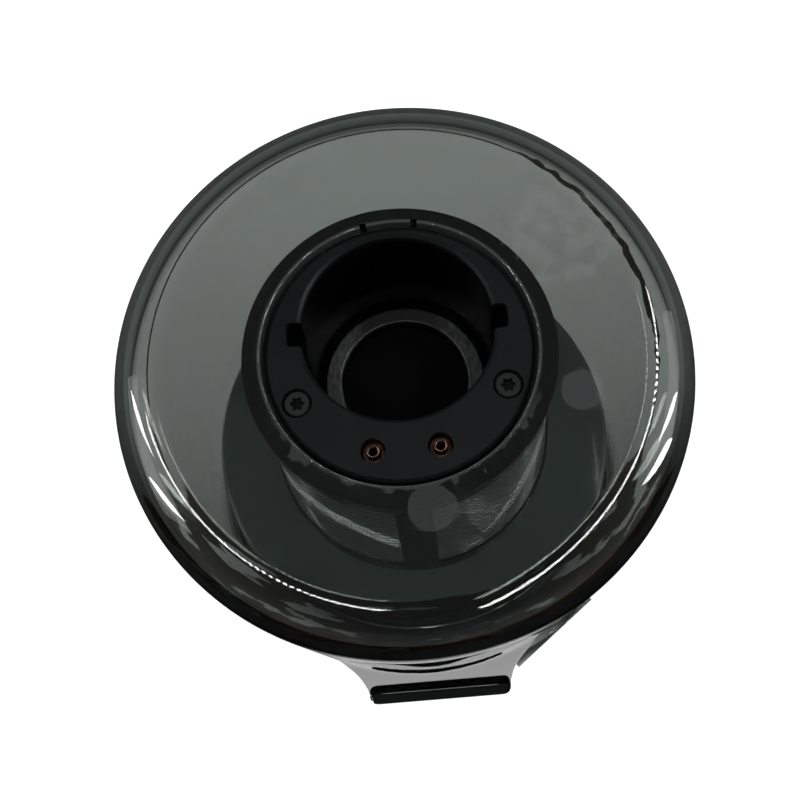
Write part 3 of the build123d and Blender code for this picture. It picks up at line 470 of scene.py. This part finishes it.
def moulded(name, colour, roughness, grain=0.00022, depth=0.000006, drift=0.05, shine=0.5):
    """Moulded plastic: a fine eroded grain raised as bump, with colour and gloss that drift a little."""
    material, shader = new_material(name)
    set_sockets(shader, Specular_IOR_Level=shine)
    place = place_on(material)
    cloud = noise(material, place, GLOSS_CLOUDS, 3.0)
    gloss = ramp_between(material, cloud, 0.3, 0.7, roughness - drift, roughness + drift)
    feed(material, gloss, shader, "Roughness")
    dark, pale = ((*[(1 + side * TONE_DRIFT) * part for part in colour], 1) for side in (-1, 1))
    colour_between(material, shader, noise(material, place, TONE_CLOUDS, 4.0), dark, pale)
    bump(material, shader, noise(material, place, grain, 2.0), depth)
    return material


def finish(material, *names):
    """Gives CAD nodes their finish."""
    for name in names:
        for slot in nodes[name].material_slots:
            slot.material = material


finish(moulded("plate_satin", PLATE_BLACK, 0.45, shine=0.12), "face_plate")
finish(moulded("duct_gloss", DUCT_BLACK, 0.16, depth=FINE_GRAIN, drift=0.03, shine=0.03),
       "inlet_duct", "inlet_elbow")

# Inlet seal
# A ring of grey rubber that lies loose in the socket's rebate on the step, where the wand's end presses and
# turns on it. Its two sides, towards the side lamps, carry a painted highlight: paler in streaks, and
# smoother.
SEAL_BLACK = (0.008, 0.0084, 0.0084, 1.0)
SEAL_HIGHLIGHT = (0.085, 0.088, 0.090, 1.0)
SEAL_HIGHLIGHT_X = (0.0075, 0.0125)
SEAL_STREAKS = (0.25, 0.0007)
SEAL_GLOSS = (0.45, 0.30)
SEAL_GRAIN = (0.0003, 0.000005)


def rubber_with_painted_highlight():
    """Dark rubber with a painted highlight: paler in streaks, and smoother, on the two sides towards the
    side lamps.
    """
    material, shader = new_material("seal_grey_rubber")
    place = place_on(material)
    axes = put(material, "SeparateXYZ", {"Vector": place}).outputs
    sides = ramp_between(material, maths(material, "ABSOLUTE", axes["X"]), *SEAL_HIGHLIGHT_X)
    stretch, size = SEAL_STREAKS
    drawn_out = maths(material, "MULTIPLY", axes["Y"], stretch)
    fine = put(material, "CombineXYZ", {"X": axes["X"], "Y": drawn_out}).outputs[0]
    streaks = ramp_between(material, noise(material, fine, size, 3.0), 0.35, 0.65, 0.3, 1.0)
    # Painted highlight: the sides at ±X, towards the lamps, are paler in streaks.
    painted_highlight = maths(material, "MULTIPLY", sides, streaks)
    colour_between(material, shader, painted_highlight, SEAL_BLACK, SEAL_HIGHLIGHT)
    feed(material, ramp_between(material, painted_highlight, 0.0, 1.0, *SEAL_GLOSS), shader, "Roughness")
    size, depth = SEAL_GRAIN
    bump(material, shader, noise(material, place, size, 2.0), depth)
    return material


finish(rubber_with_painted_highlight(), "inlet_seal")

# Screws
# Six-lobe screws of blackened steel, cold-headed, that cut their own threads in the plastic: two through
# the face plate, and those under the floor and behind the cones.
SCREW_BLACK = (0.0060, 0.0064, 0.0066)
SCREW_SHINE = 0.3
SCREW_GRAIN = 0.000003
RECESS_DEPTH = 0.0004
INNER_SCREW_BLACK = (0.02, 0.02, 0.021)


def screw_steel():
    """Blackened steel whose recess loses its shine by the depth under the heads' top, a painted shade in the
    recess.
    """
    material = moulded("screw_black_steel", SCREW_BLACK, 0.40, depth=SCREW_GRAIN, shine=SCREW_SHINE)
    shader = material.node_tree.nodes["Principled BSDF"]
    level = put(material, "SeparateXYZ", {"Vector": place_on(material)}).outputs["Z"]
    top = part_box("plate_screws")[1].z
    # Painted shade: the recess loses its specular shine with depth, so it reads dark.
    unshaded = ramp_between(material, level, top - RECESS_DEPTH, top - 0.25 * RECESS_DEPTH)
    feed(material, maths(material, "MULTIPLY", unshaded, SCREW_SHINE), shader, "Specular IOR Level")
    return material


finish(screw_steel(), "plate_screws")
finish(moulded("inner_screw_steel", INNER_SCREW_BLACK, 0.35, depth=SCREW_GRAIN),
       "shroud_screws", "unit_screws")

# Contacts
# Two drawn copper sleeves that take the wand's pins, pressed into a moulded holder, with sleeved leads down
# to two copper blades in a block at the rear.
COPPER = (0.16, 0.09, 0.066)
LEAD_BLACK = (0.02, 0.02, 0.021)
TARNISH_SIZE = 0.0016
TARNISH_TONE = 0.35
TARNISH_DULLING = 0.25
DRAWN_GRAIN = (0.0003, 0.000006)


def bare_metal(name, colour, roughness):
    """Bare metal: clouded by tarnish, with a drawn finish."""
    material, shader = new_material(name)
    place = place_on(material)
    set_sockets(shader, Metallic=1.0)
    tarnish = ramp_between(material, noise(material, place, TARNISH_SIZE, 4.0), 0.35, 0.75)
    dulled = (*[TARNISH_TONE * part for part in colour], 1)
    colour_between(material, shader, tarnish, (*colour, 1), dulled)
    gloss = ramp_between(material, tarnish, 0, 1, roughness, roughness + TARNISH_DULLING)
    feed(material, gloss, shader, "Roughness")
    size, depth = DRAWN_GRAIN
    bump(material, shader, noise(material, place, size, 2.0), depth)
    return material


copper_finish = bare_metal("drawn_copper", COPPER, 0.25)
finish(copper_finish, "contact_sleeves", "rear_contact_blades")
finish(moulded("holder_black", PLATE_BLACK, 0.5), "contact_holder", "rear_contact_block")
finish(moulded("lead_sleeve", LEAD_BLACK, 0.45), "contact_wires")

# Contact springs
# A coil of copper wire that stands on each sleeve's end, held by the plate's hole round it, which the
# wand's pin presses down.
SPRING_R = 0.00105
SPRING_WIRE_R = 0.00022
SPRING_TURNS = 3.2
SPRING_PITCH = 0.00062
SPRING_GRID = (120, 10)


def spring_points(x, y, low):
    """A round wire swept along a helix about Z: rows along the helix, columns round the wire."""
    rows, columns = SPRING_GRID
    turn = np.linspace(0, 2 * pi * SPRING_TURNS, rows)[:, None]
    around = np.linspace(0, 2 * pi, columns, endpoint=False)[None, :]
    r = SPRING_R + SPRING_WIRE_R * np.cos(around)
    z = low + SPRING_WIRE_R + SPRING_PITCH * turn / (2 * pi) + SPRING_WIRE_R * np.sin(around)
    return np.stack([x + r * np.cos(turn), y + r * np.sin(turn), z], -1)


sleeves_low, sleeves_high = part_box("contact_sleeves")
sleeve_y = (sleeves_low.y + sleeves_high.y) / 2
sleeve_x = sleeves_high.x - (sleeves_high.y - sleeves_low.y) / 2
for side, spring_name in ((-1, "contact_spring_left"), (1, "contact_spring_right")):
    coil = spring_points(side * sleeve_x, sleeve_y, sleeves_high.z)
    spring = surface(spring_name, coil, wrap=(False, True), flip=True)
    spring.data.materials.append(copper_finish)
    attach(spring, "cyclone_unit")

# Flap
# The non-return flap of moulded black rubber under the step, and the ground steel pin through its ears that
# it swings on. The air pushes it open and the rubber's spring closes it.
FLAP_BLACK = (0.002, 0.002, 0.0021)
PIN_STEEL = (0.6, 0.6, 0.61)
finish(moulded("flap_rubber", FLAP_BLACK, 0.7, shine=0.05), "inlet_flap")
finish(bare_metal("ground_steel", PIN_STEEL, 0.25), "flap_pin")

# Gaskets
# Black moulded rubber, pinched between the pieces that it seals: the ring under the clear face, the sheet
# under the cones and the two rear seals.
GASKET_BLACK = (0.006, 0.006, 0.0063)
finish(moulded("gasket_rubber", GASKET_BLACK, 0.6, shine=0.2),
       "front_gasket", "cone_gasket", "rear_seal", "filter_seal")

# Shroud frame
# The drum that stands on the floor round the elbow: collar, ribs and foot, moulded in one piece of glossy
# black plastic and screwed down from below.
SHROUD_BLACK = (0.008, 0.009, 0.009)
finish(moulded("shroud_gloss", SHROUD_BLACK, 0.2, depth=FINE_GRAIN), "shroud_frame")

# Mesh screen
# Three curved sheets of etched steel, one in each window of the drum, with staggered fine holes. The frame
# is moulded round their edges. The etching rounds the holes, and their lower edges catch the lamps.
DRUM_TOP = (0.0295, 0.104)
DRUM_FOOT = (0.0340, 0.0475)
SCREEN_SUNK = 0.0005
SCREEN_THICK = 0.0003
SCREEN_WINDOWS = ((97.0, 173.0), (187.0, 263.0), (277.0, 353.0))
SCREEN_GRIP = 0.0007
HOLE_PITCH = 0.00118
HOLE_SHARE = 0.68
SCREEN_STEEL = ((0.56, 0.60, 0.60, 1.0), (0.80, 0.84, 0.84, 1.0))
SCREEN_CLOUDS = 0.006
CELL_SIDES = 6
CELL_RINGS = 4
LIP_FACES = slice(3, 5)
LIP_STEEL = (0.30, 0.32, 0.32, 1.0)
LIP_LEAN = radians(80)
LIP_LEAN_AT = 0.075
LIP_LEAN_RISE = radians(180)


def screen_points(ends_deg):
    """A honeycomb laid on the drum's cone: each cell is a six-sided ring round its hole, on the outer and
    the inner face, with a wall between. Returns points by cell, ring and corner, the faces of one cell, and
    which cells lie in the odd rows."""
    low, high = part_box("mesh_screen")[0].z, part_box("mesh_screen")[1].z
    margin = 0.5 * HOLE_PITCH
    mean_r = (DRUM_TOP[0] + DRUM_FOOT[0]) / 2 - SCREEN_SUNK
    arc = radians(ends_deg[1] - ends_deg[0]) + 2 * SCREEN_GRIP / mean_r
    row_step = HOLE_PITCH * cos(radians(30))
    rows = int((high - low - 2 * margin) / row_step)
    columns = int(arc * mean_r / HOLE_PITCH)
    row, column = np.meshgrid(np.arange(rows), np.arange(columns), indexing="ij")
    along = (column + 0.5 * (row % 2) - (columns - 0.5) / 2) * HOLE_PITCH
    up = (low + high) / 2 + (row - (rows - 1) / 2) * row_step
    corner = np.arange(CELL_SIDES)
    turn = np.radians(30 + 60 * corner)
    rim = HOLE_PITCH / 2 / cos(radians(30))
    hole = rim * HOLE_SHARE
    rings = np.array([[rim, 0], [hole, 0], [hole, SCREEN_THICK], [rim, SCREEN_THICK]])
    u = along[..., None, None] + rings[:, :1] * np.cos(turn)
    z = up[..., None, None] + rings[:, :1] * np.sin(turn)
    slope = (DRUM_FOOT[0] - DRUM_TOP[0]) / (DRUM_TOP[1] - DRUM_FOOT[1])
    r = DRUM_TOP[0] + slope * (DRUM_TOP[1] - z) - SCREEN_SUNK - rings[:, 1:]
    bearing = radians(sum(ends_deg) / 2) + u / mean_r
    points = np.stack([r * np.cos(bearing), r * np.sin(bearing), z], -1)
    here = corner + CELL_SIDES * np.arange(CELL_RINGS - 1)[:, None]
    ahead = here - corner + (corner + 1) % CELL_SIDES
    cell = np.stack([here, ahead, ahead + CELL_SIDES, here + CELL_SIDES], -1).reshape(-1, 4)
    return points.reshape(-1, CELL_RINGS * CELL_SIDES, 3), cell, (row % 2).ravel()


def etched_steel():
    """Steel sheet left smooth by the etching, clouded a little by dust."""
    material, shader = new_material("etched_steel")
    set_sockets(shader, Metallic=0.75, Roughness=0.05)
    colour_between(material, shader, noise(material, place_on(material), SCREEN_CLOUDS, 3.0), *SCREEN_STEEL)
    return material


def lip_steel():
    """The lower edge of a hole, rounded over by the etching: its normal leans from the drum's outward line
    towards +Z, by an angle that grows with the height."""
    material, shader = new_material("lip_steel")
    set_sockets(shader, Base_Color=LIP_STEEL, Metallic=1.0, Roughness=0.03)
    place = place_on(material)
    out = arrows(material, "NORMALIZE", arrows(material, "MULTIPLY", place, (1, 1, 0)))
    height = put(material, "SeparateXYZ", {"Vector": place}).outputs["Z"]
    angle = maths(material, "MULTIPLY_ADD", height, LIP_LEAN_RISE, LIP_LEAN - LIP_LEAN_AT * LIP_LEAN_RISE)
    level = put(material, "CombineXYZ", dict.fromkeys("XY", maths(material, "COSINE", angle))).outputs[0]
    upright = put(material, "CombineXYZ", {"Z": maths(material, "SINE", angle)}).outputs[0]
    lean = arrows(material, "ADD", arrows(material, "MULTIPLY", out, level), upright)
    turned = put(material, "VectorTransform", {"Vector": lean}, vector_type="NORMAL", convert_from="OBJECT",
                 convert_to="WORLD").outputs[0]
    feed(material, arrows(material, "NORMALIZE", turned), shader, "Normal")
    return material


screen_steel, edge_steel = etched_steel(), lip_steel()
for number, window in enumerate(SCREEN_WINDOWS):
    cells, cell_faces, odd_rows = screen_points(window)
    all_faces = (cells.shape[1] * np.arange(len(cells)))[:, None, None] + cell_faces
    screen = faces_mesh(f"screen_sheet_{number + 1}", cells.reshape(-1, 3), all_faces.reshape(-1, 4))
    lips = np.zeros((len(cells), len(cell_faces)), np.int32)
    lips[:, LIP_FACES] = odd_rows[:, None]
    screen.data.materials.append(screen_steel)
    screen.data.materials.append(edge_steel)
    screen.data.polygons.foreach_set("material_index", lips.ravel())
    screen.data.polygons.foreach_set("use_smooth", np.zeros(lips.size, bool))
    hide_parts("mesh_screen")
    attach(screen, "cyclone_unit")

# Cyclone housing
# The polished floor under the drum and the wall round the cones, moulded in one piece of black plastic,
# whose grey is a painted light for the light inside the cup. The drum and the cones are screwed to it.
HOUSING_PAINTED_LIGHT_GREY = (0.185, 0.225, 0.222)
finish(moulded("housing_gloss", HOUSING_PAINTED_LIGHT_GREY, 0.05, depth=FINE_GRAIN, drift=0.01), "cyclone_housing")

# Cones and vortex plate
# The ring of second-stage cones and the plate of vortex finders with its hub, each moulded in satin black
# plastic, with long screws through both.
CONE_BLACK = (0.012, 0.0125, 0.013)
finish(moulded("cone_satin", CONE_BLACK, 0.45), "cone_cluster", "vortex_plate")

# Lock ring
# The ring welded to the housing's rear edge, moulded in dark grey satin plastic, with the tabs that turn
# under the cup's ledges.
GREY_SATIN = (0.055, 0.057, 0.058)
finish(moulded("lock_ring_grey", GREY_SATIN, 0.4), "lock_ring")

# Filter cassette and pleats
# A grey moulded cassette with spokes and a pull tab, and in it a ring of white filter paper folded in
# pleats, whose edges are glued to the cassette.
CASSETTE_GREY = (0.11, 0.113, 0.113)
PLEATS = 84
PLEAT_SAMPLES = 8
PLEAT_RINGS = 6
PLEAT_INNER_R = 0.0299
PLEAT_CREASE = 0.96
PAPER_THICK = 0.00035
PAPER_WHITE = ((0.72, 0.72, 0.70, 1.0), (0.86, 0.86, 0.84, 1.0))
PAPER_FIBRES = (0.0006, 0.00004)
finish(moulded("cassette_grey", CASSETTE_GREY, 0.45), "filter_frame")


def pleat_points():
    """Radial pleats: the height over the ring is a rounded zigzag of the bearing, on an upper and a lower
    sheet that join along the ring's inner and outer edge."""
    low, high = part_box("filter_media")
    bearing = np.linspace(0, 2 * pi, PLEATS * PLEAT_SAMPLES, endpoint=False)
    zigzag = np.arcsin(PLEAT_CREASE * np.sin(PLEATS * bearing)) / np.arcsin(PLEAT_CREASE)
    middle = (low.z + high.z) / 2
    height = (high.z - low.z - PAPER_THICK) / 2
    share = np.linspace(0, 1, PLEAT_RINGS)
    radii = PLEAT_INNER_R + (high.x - PLEAT_INNER_R) * np.concatenate([share, share[::-1]])
    side = np.repeat([1, -1], PLEAT_RINGS)
    z = middle + height * zigzag[None, :] + side[:, None] * PAPER_THICK / 2
    r = radii[:, None] * np.ones_like(z)
    return np.stack([r * np.cos(bearing), r * np.sin(bearing), z], -1)


def filter_paper():
    """White filter paper: a fibrous, cloudy bump and a faint grey that varies with the same fibres."""
    material, shader = new_material("filter_paper")
    set_sockets(shader, Roughness=0.9)
    size, depth = PAPER_FIBRES
    fibres = noise(material, place_on(material), size, 6.0, 0.7)
    colour_between(material, shader, fibres, *PAPER_WHITE)
    bump(material, shader, fibres, depth)
    return material


pleats = surface("filter_pleats", pleat_points(), wrap=(True, True), flip=True)
pleats.data.materials.append(filter_paper())
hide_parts("filter_media")
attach(pleats, "cyclone_unit")

# Floor
# A plain white table top under the bin. It keeps the bin's soft shadow. It is lifted to white for the lens
# and, by place, for what shows through the clear plastic, and it is dim where the plastic mirrors it. For
# other rays its colour darkens towards -Y, a painted shade, and the lift through the plastic stops under the
# wall, a painted shadow.
FLOOR_R = (0.001, 4.0)
FLOOR_Z = -0.0002
FLOOR_GRID = (24, 64)
FLOOR_LIFT = 0.88
FLOOR_LIFT_THROUGH = (0.90, 0.52)
FLOOR_LIFT_Y = (-0.06, 0.10)
FLOOR_SHADE = (0.0585, 0.0630)
FLOOR_LIFT_MIRRORED = 0.95
FLOOR_MIRRORED_AT = (0.0013, -0.088, 0.0)
FLOOR_MIRRORED_REACH = (0.060, 0.026)
TABLE_WHITE = (0.40, 0.40, 0.40, 1.0)
TABLE_DIM = (0.03, 0.46)
TABLE_DIM_Y = (-0.10, 0.12)
TABLE_MIRRORED = 0.15


def floor_points():
    """A flat disc just under the bin: rings of even bearings whose radius grows by equal factors."""
    rings, columns = FLOOR_GRID
    radius = np.geomspace(*FLOOR_R, rings)[:, None]
    bearing = np.linspace(0, 2 * pi, columns, endpoint=False)
    x, y = radius * np.cos(bearing), radius * np.sin(bearing)
    return np.stack([x, y, np.full_like(x, FLOOR_Z)], -1)


def white_table():
    """Matt white laminate, with light of its own for rays from the lens, for rays that pass the plastic
    outside the bin's own shade, and for those that the lug's ramp mirrors from the table before it."""
    material, shader = new_material("white_table")
    set_sockets(shader, Roughness=0.9, Specular_IOR_Level=0.1, Emission_Color=(1, 1, 1, 1))
    path = put(material, "LightPath").outputs
    place = place_on(material)
    ahead = put(material, "SeparateXYZ", {"Vector": place}).outputs["Y"]
    # Painted shade: for rays other than the lens's, the table's colour darkens towards -Y, and more where it
    # is mirrored.
    dim = ramp_between(material, ahead, *TABLE_DIM_Y, *TABLE_DIM)
    off_mirror = maths(material, "MULTIPLY_ADD", path["Is Reflection Ray"], TABLE_MIRRORED - 1, 1.0)
    dim = maths(material, "MULTIPLY", dim, off_mirror)
    colour_between(material, shader, path["Is Camera Ray"], dim, TABLE_WHITE)
    lift = ramp_between(material, ahead, *FLOOR_LIFT_Y, *FLOOR_LIFT_THROUGH)
    through = maths(material, "MULTIPLY", path["Is Transmission Ray"], lift)
    straight = maths(material, "LESS_THAN", path["Glossy Depth"], 0.5)
    # Painted shadow: what shows through the plastic is not lifted in a ring under the bin's wall.
    past_shade = ramp_between(material, arrows(material, "LENGTH", place), *FLOOR_SHADE)
    through = maths(material, "MULTIPLY", through, maths(material, "MULTIPLY", straight, past_shade))
    from_lug = arrows(material, "DISTANCE", place, FLOOR_MIRRORED_AT)
    mirrored = ramp_between(material, from_lug, *FLOOR_MIRRORED_REACH, 0.0, FLOOR_LIFT_MIRRORED)
    mirrored = maths(material, "MULTIPLY", mirrored, path["Is Reflection Ray"])
    direct = maths(material, "MULTIPLY", path["Is Camera Ray"], FLOOR_LIFT)
    lit = maths(material, "MAXIMUM", direct, maths(material, "MAXIMUM", through, mirrored))
    feed(material, lit, shader, "Emission Strength")
    return material


floor = surface("floor", floor_points(), wrap=(False, True), flip=True)
floor.data.materials.append(white_table())

# Light
# A dim room, darker overhead where the lens is and paler towards the walls, with a wide soft lamp at each
# side, two long strips of small lamps that draw the dotted lines along the cup's corner, and four barred
# slivers that draw the short marks at its sides.
ROOM_OVERHEAD = 0.11
ROOM_WALLS = 0.32
ROOM_HEIGHTS = (0.85, 0.0)
ROOM_TINT = (0.93, 1.0, 0.98, 1.0)
ROOM_WHITE = (1.0, 1.0, 1.0, 1.0)
WIDE_LAMPS = (("left_lamp", (-0.62, 0.02, 0.40), (0.40, 0.30), 0.5),
              ("right_lamp", (0.62, 0.06, 0.40), (0.40, 0.30), 0.5))
STRIPS = (("left_strip", (-0.304, 0.092, 0.450), (-0.047, -0.130, 0.540), 0.026, 0.36, 50.0),
          ("right_strip", (0.241, 0.185, 0.460), (0.082, -0.264, 0.482), 0.026, 0.52, 64.0))
STRIP_SLANT = 0.5
STRIP_DOT = (0.20, 0.30)
STRIP_GLOW = (0.04, 2.6)
SLIVERS = (("left_sliver_1", (-0.544, 0.153, 0.301), (-0.419, 0.041, 0.512), 0.04, 0.45),
           ("left_sliver_2", (-0.569, -0.044, 0.286), (-0.432, -0.109, 0.490), 0.045, 0.5),
           ("right_sliver_1", (0.577, 0.037, 0.265), (0.463, -0.038, 0.469), 0.045, 0.5),
           ("right_sliver_2", (0.589, -0.078, 0.196), (0.457, -0.148, 0.452), 0.07, 0.8))
SLIVER_EDGE = (1.0, 0.9)
SLIVER_GLOW = 2.0
SLIVER_BARS = 17.0
SLIVER_SLANT = 1.5
SLIVER_BAR = (0.08, 0.20)
SLIVER_BAR_GLOW = (0.25, 1.0)

scene = bpy.context.scene
world = bpy.data.worlds.new("room")
world.use_nodes = True
scene.world = world
sky = world.node_tree.nodes["Background"]
facing = put(world, "SeparateXYZ", {"Vector": put(world, "TexCoord").outputs["Generated"]}).outputs["Z"]
room = ramp_between(world, facing, *ROOM_HEIGHTS, ROOM_OVERHEAD, ROOM_WALLS)
to_lens = put(world, "LightPath").outputs["Is Camera Ray"]
feed(world, maths(world, "MAXIMUM", room, to_lens), sky, "Strength")
room_tone = put(world, "Mix", {"Factor": to_lens, "A": ROOM_TINT, "B": ROOM_WHITE}, data_type="RGBA")
feed(world, room_tone.outputs["Result"], sky, "Color")


def add_lamp(name, place, aim, size, power):
    """A rectangular lamp at a place, facing an aim, with its first side level unless it is turned."""
    light = bpy.data.lights.new(name, "AREA")
    light.shape = "RECTANGLE"
    light.size, light.size_y = size
    light.energy = power
    lamp = bpy.data.objects.new(name, light)
    lamp.location = place
    lamp.rotation_euler = (Vector(aim) - Vector(place)).to_track_quat("-Z", "Y").to_euler()
    scene.collection.objects.link(lamp)
    return lamp


def add_strip(name, start, end, width, power):
    """A long lamp from start to end that faces the cup. Returns it, its glow, and its shares along and
    across."""
    start, end = Vector(start), Vector(end)
    lamp = add_lamp(name, (start + end) / 2, (0, 0, FACE_TOP), ((end - start).length, width), power)
    along = (end - start).normalized()
    back = (lamp.location - Vector((0, 0, FACE_TOP))).normalized()
    back = (back - along * back.dot(along)).normalized()
    lamp.rotation_euler = Matrix((along, back.cross(along), back)).transposed().to_euler()
    lamp.data.use_nodes = True
    glow = lamp.data.node_tree.nodes["Emission"]
    share = put(lamp.data, "SeparateXYZ", {"Vector": put(lamp.data, "TexCoord").outputs["UV"]}).outputs
    return lamp.data, glow, share["X"], share["Y"]


for lamp_name, lamp_place, lamp_size, lamp_power in WIDE_LAMPS:
    add_lamp(lamp_name, lamp_place, (0, 0, FACE_TOP / 2), lamp_size, lamp_power)
for *strip, dots in STRIPS:
    light, glow, x, y = add_strip(*strip)
    phase = maths(light, "ADD", maths(light, "MULTIPLY", x, dots), maths(light, "MULTIPLY", y, STRIP_SLANT))
    wave = maths(light, "PINGPONG", phase, 0.5)
    feed(light, ramp_between(light, wave, *STRIP_DOT, *STRIP_GLOW), glow, "Strength")
for sliver in SLIVERS:
    light, glow, x, y = add_strip(*sliver)
    across, along = (maths(light, "ABSOLUTE", maths(light, "MULTIPLY_ADD", share, 2.0, -1.0))
                     for share in (y, x))
    far = maths(light, "ADD", across, maths(light, "POWER", along, 2.0))
    shape = ramp_between(light, far, *SLIVER_EDGE, 0.0, SLIVER_GLOW)
    phase = maths(light, "MULTIPLY_ADD", x, SLIVER_BARS, maths(light, "MULTIPLY", y, SLIVER_SLANT))
    bars = ramp_between(light, maths(light, "PINGPONG", phase, 0.5), *SLIVER_BAR, *SLIVER_BAR_GLOW)
    feed(light, maths(light, "MULTIPLY", shape, bars), glow, "Strength")

# Camera
# Close over the bin's face, tipped towards the latch lug and rolled a little, as the photograph was taken.
# The face's centre falls on its pixel in the photograph's frame.
IMAGE_SIDE = 800
FOCAL_PIXELS = 947.0
SENSOR_MM = 36.0
CAMERA_DISTANCE = 0.180
CAMERA_TILT = radians(20.63)
CAMERA_BEARING = radians(3.97)
CAMERA_ROLL = radians(-9.0)
CLIP_START = 0.01
FACE_PIXEL = (398.27, 347.96)


def camera_axes():
    """The camera's place and its three axes: back along the line to the face, turned by the roll, then
    turned again so that the face's centre falls on its pixel."""
    back = np.array([sin(CAMERA_TILT) * sin(CAMERA_BEARING), -sin(CAMERA_TILT) * cos(CAMERA_BEARING),
                     cos(CAMERA_TILT)])
    place = np.array([0, 0, FACE_TOP]) + CAMERA_DISTANCE * back
    right = np.cross([0, 0, 1], back)
    right /= np.linalg.norm(right)
    up = np.cross(back, right)
    roll = np.array([[cos(CAMERA_ROLL), sin(CAMERA_ROLL)], [-sin(CAMERA_ROLL), cos(CAMERA_ROLL)]])
    right, up = roll @ np.array([right, up])
    ray = np.array([FACE_PIXEL[0] - IMAGE_SIDE / 2, IMAGE_SIDE / 2 - FACE_PIXEL[1], -FOCAL_PIXELS])
    ray /= np.linalg.norm(ray)
    axis = np.cross([0, 0, -1], ray)
    cross = np.array([[0, -axis[2], axis[1]], [axis[2], 0, -axis[0]], [-axis[1], axis[0], 0]])
    turn = np.eye(3) + cross + cross @ cross / (1 - ray[2])
    return place, turn @ np.array([right, up, back])


def camera_matrix():
    """The camera's axes as columns, with its place."""
    place, axes = camera_axes()
    matrix = np.eye(4)
    matrix[:3, :3] = axes.T
    matrix[:3, 3] = place
    return matrix


camera_data = bpy.data.cameras.new("camera")
camera_data.sensor_width = SENSOR_MM
camera_data.lens = FOCAL_PIXELS * SENSOR_MM / IMAGE_SIDE
camera_data.clip_start = CLIP_START
camera = bpy.data.objects.new("camera", camera_data)
scene.collection.objects.link(camera)
camera.matrix_world = camera_matrix().T.tolist()
scene.camera = camera
scene.view_settings.view_transform = "Standard"
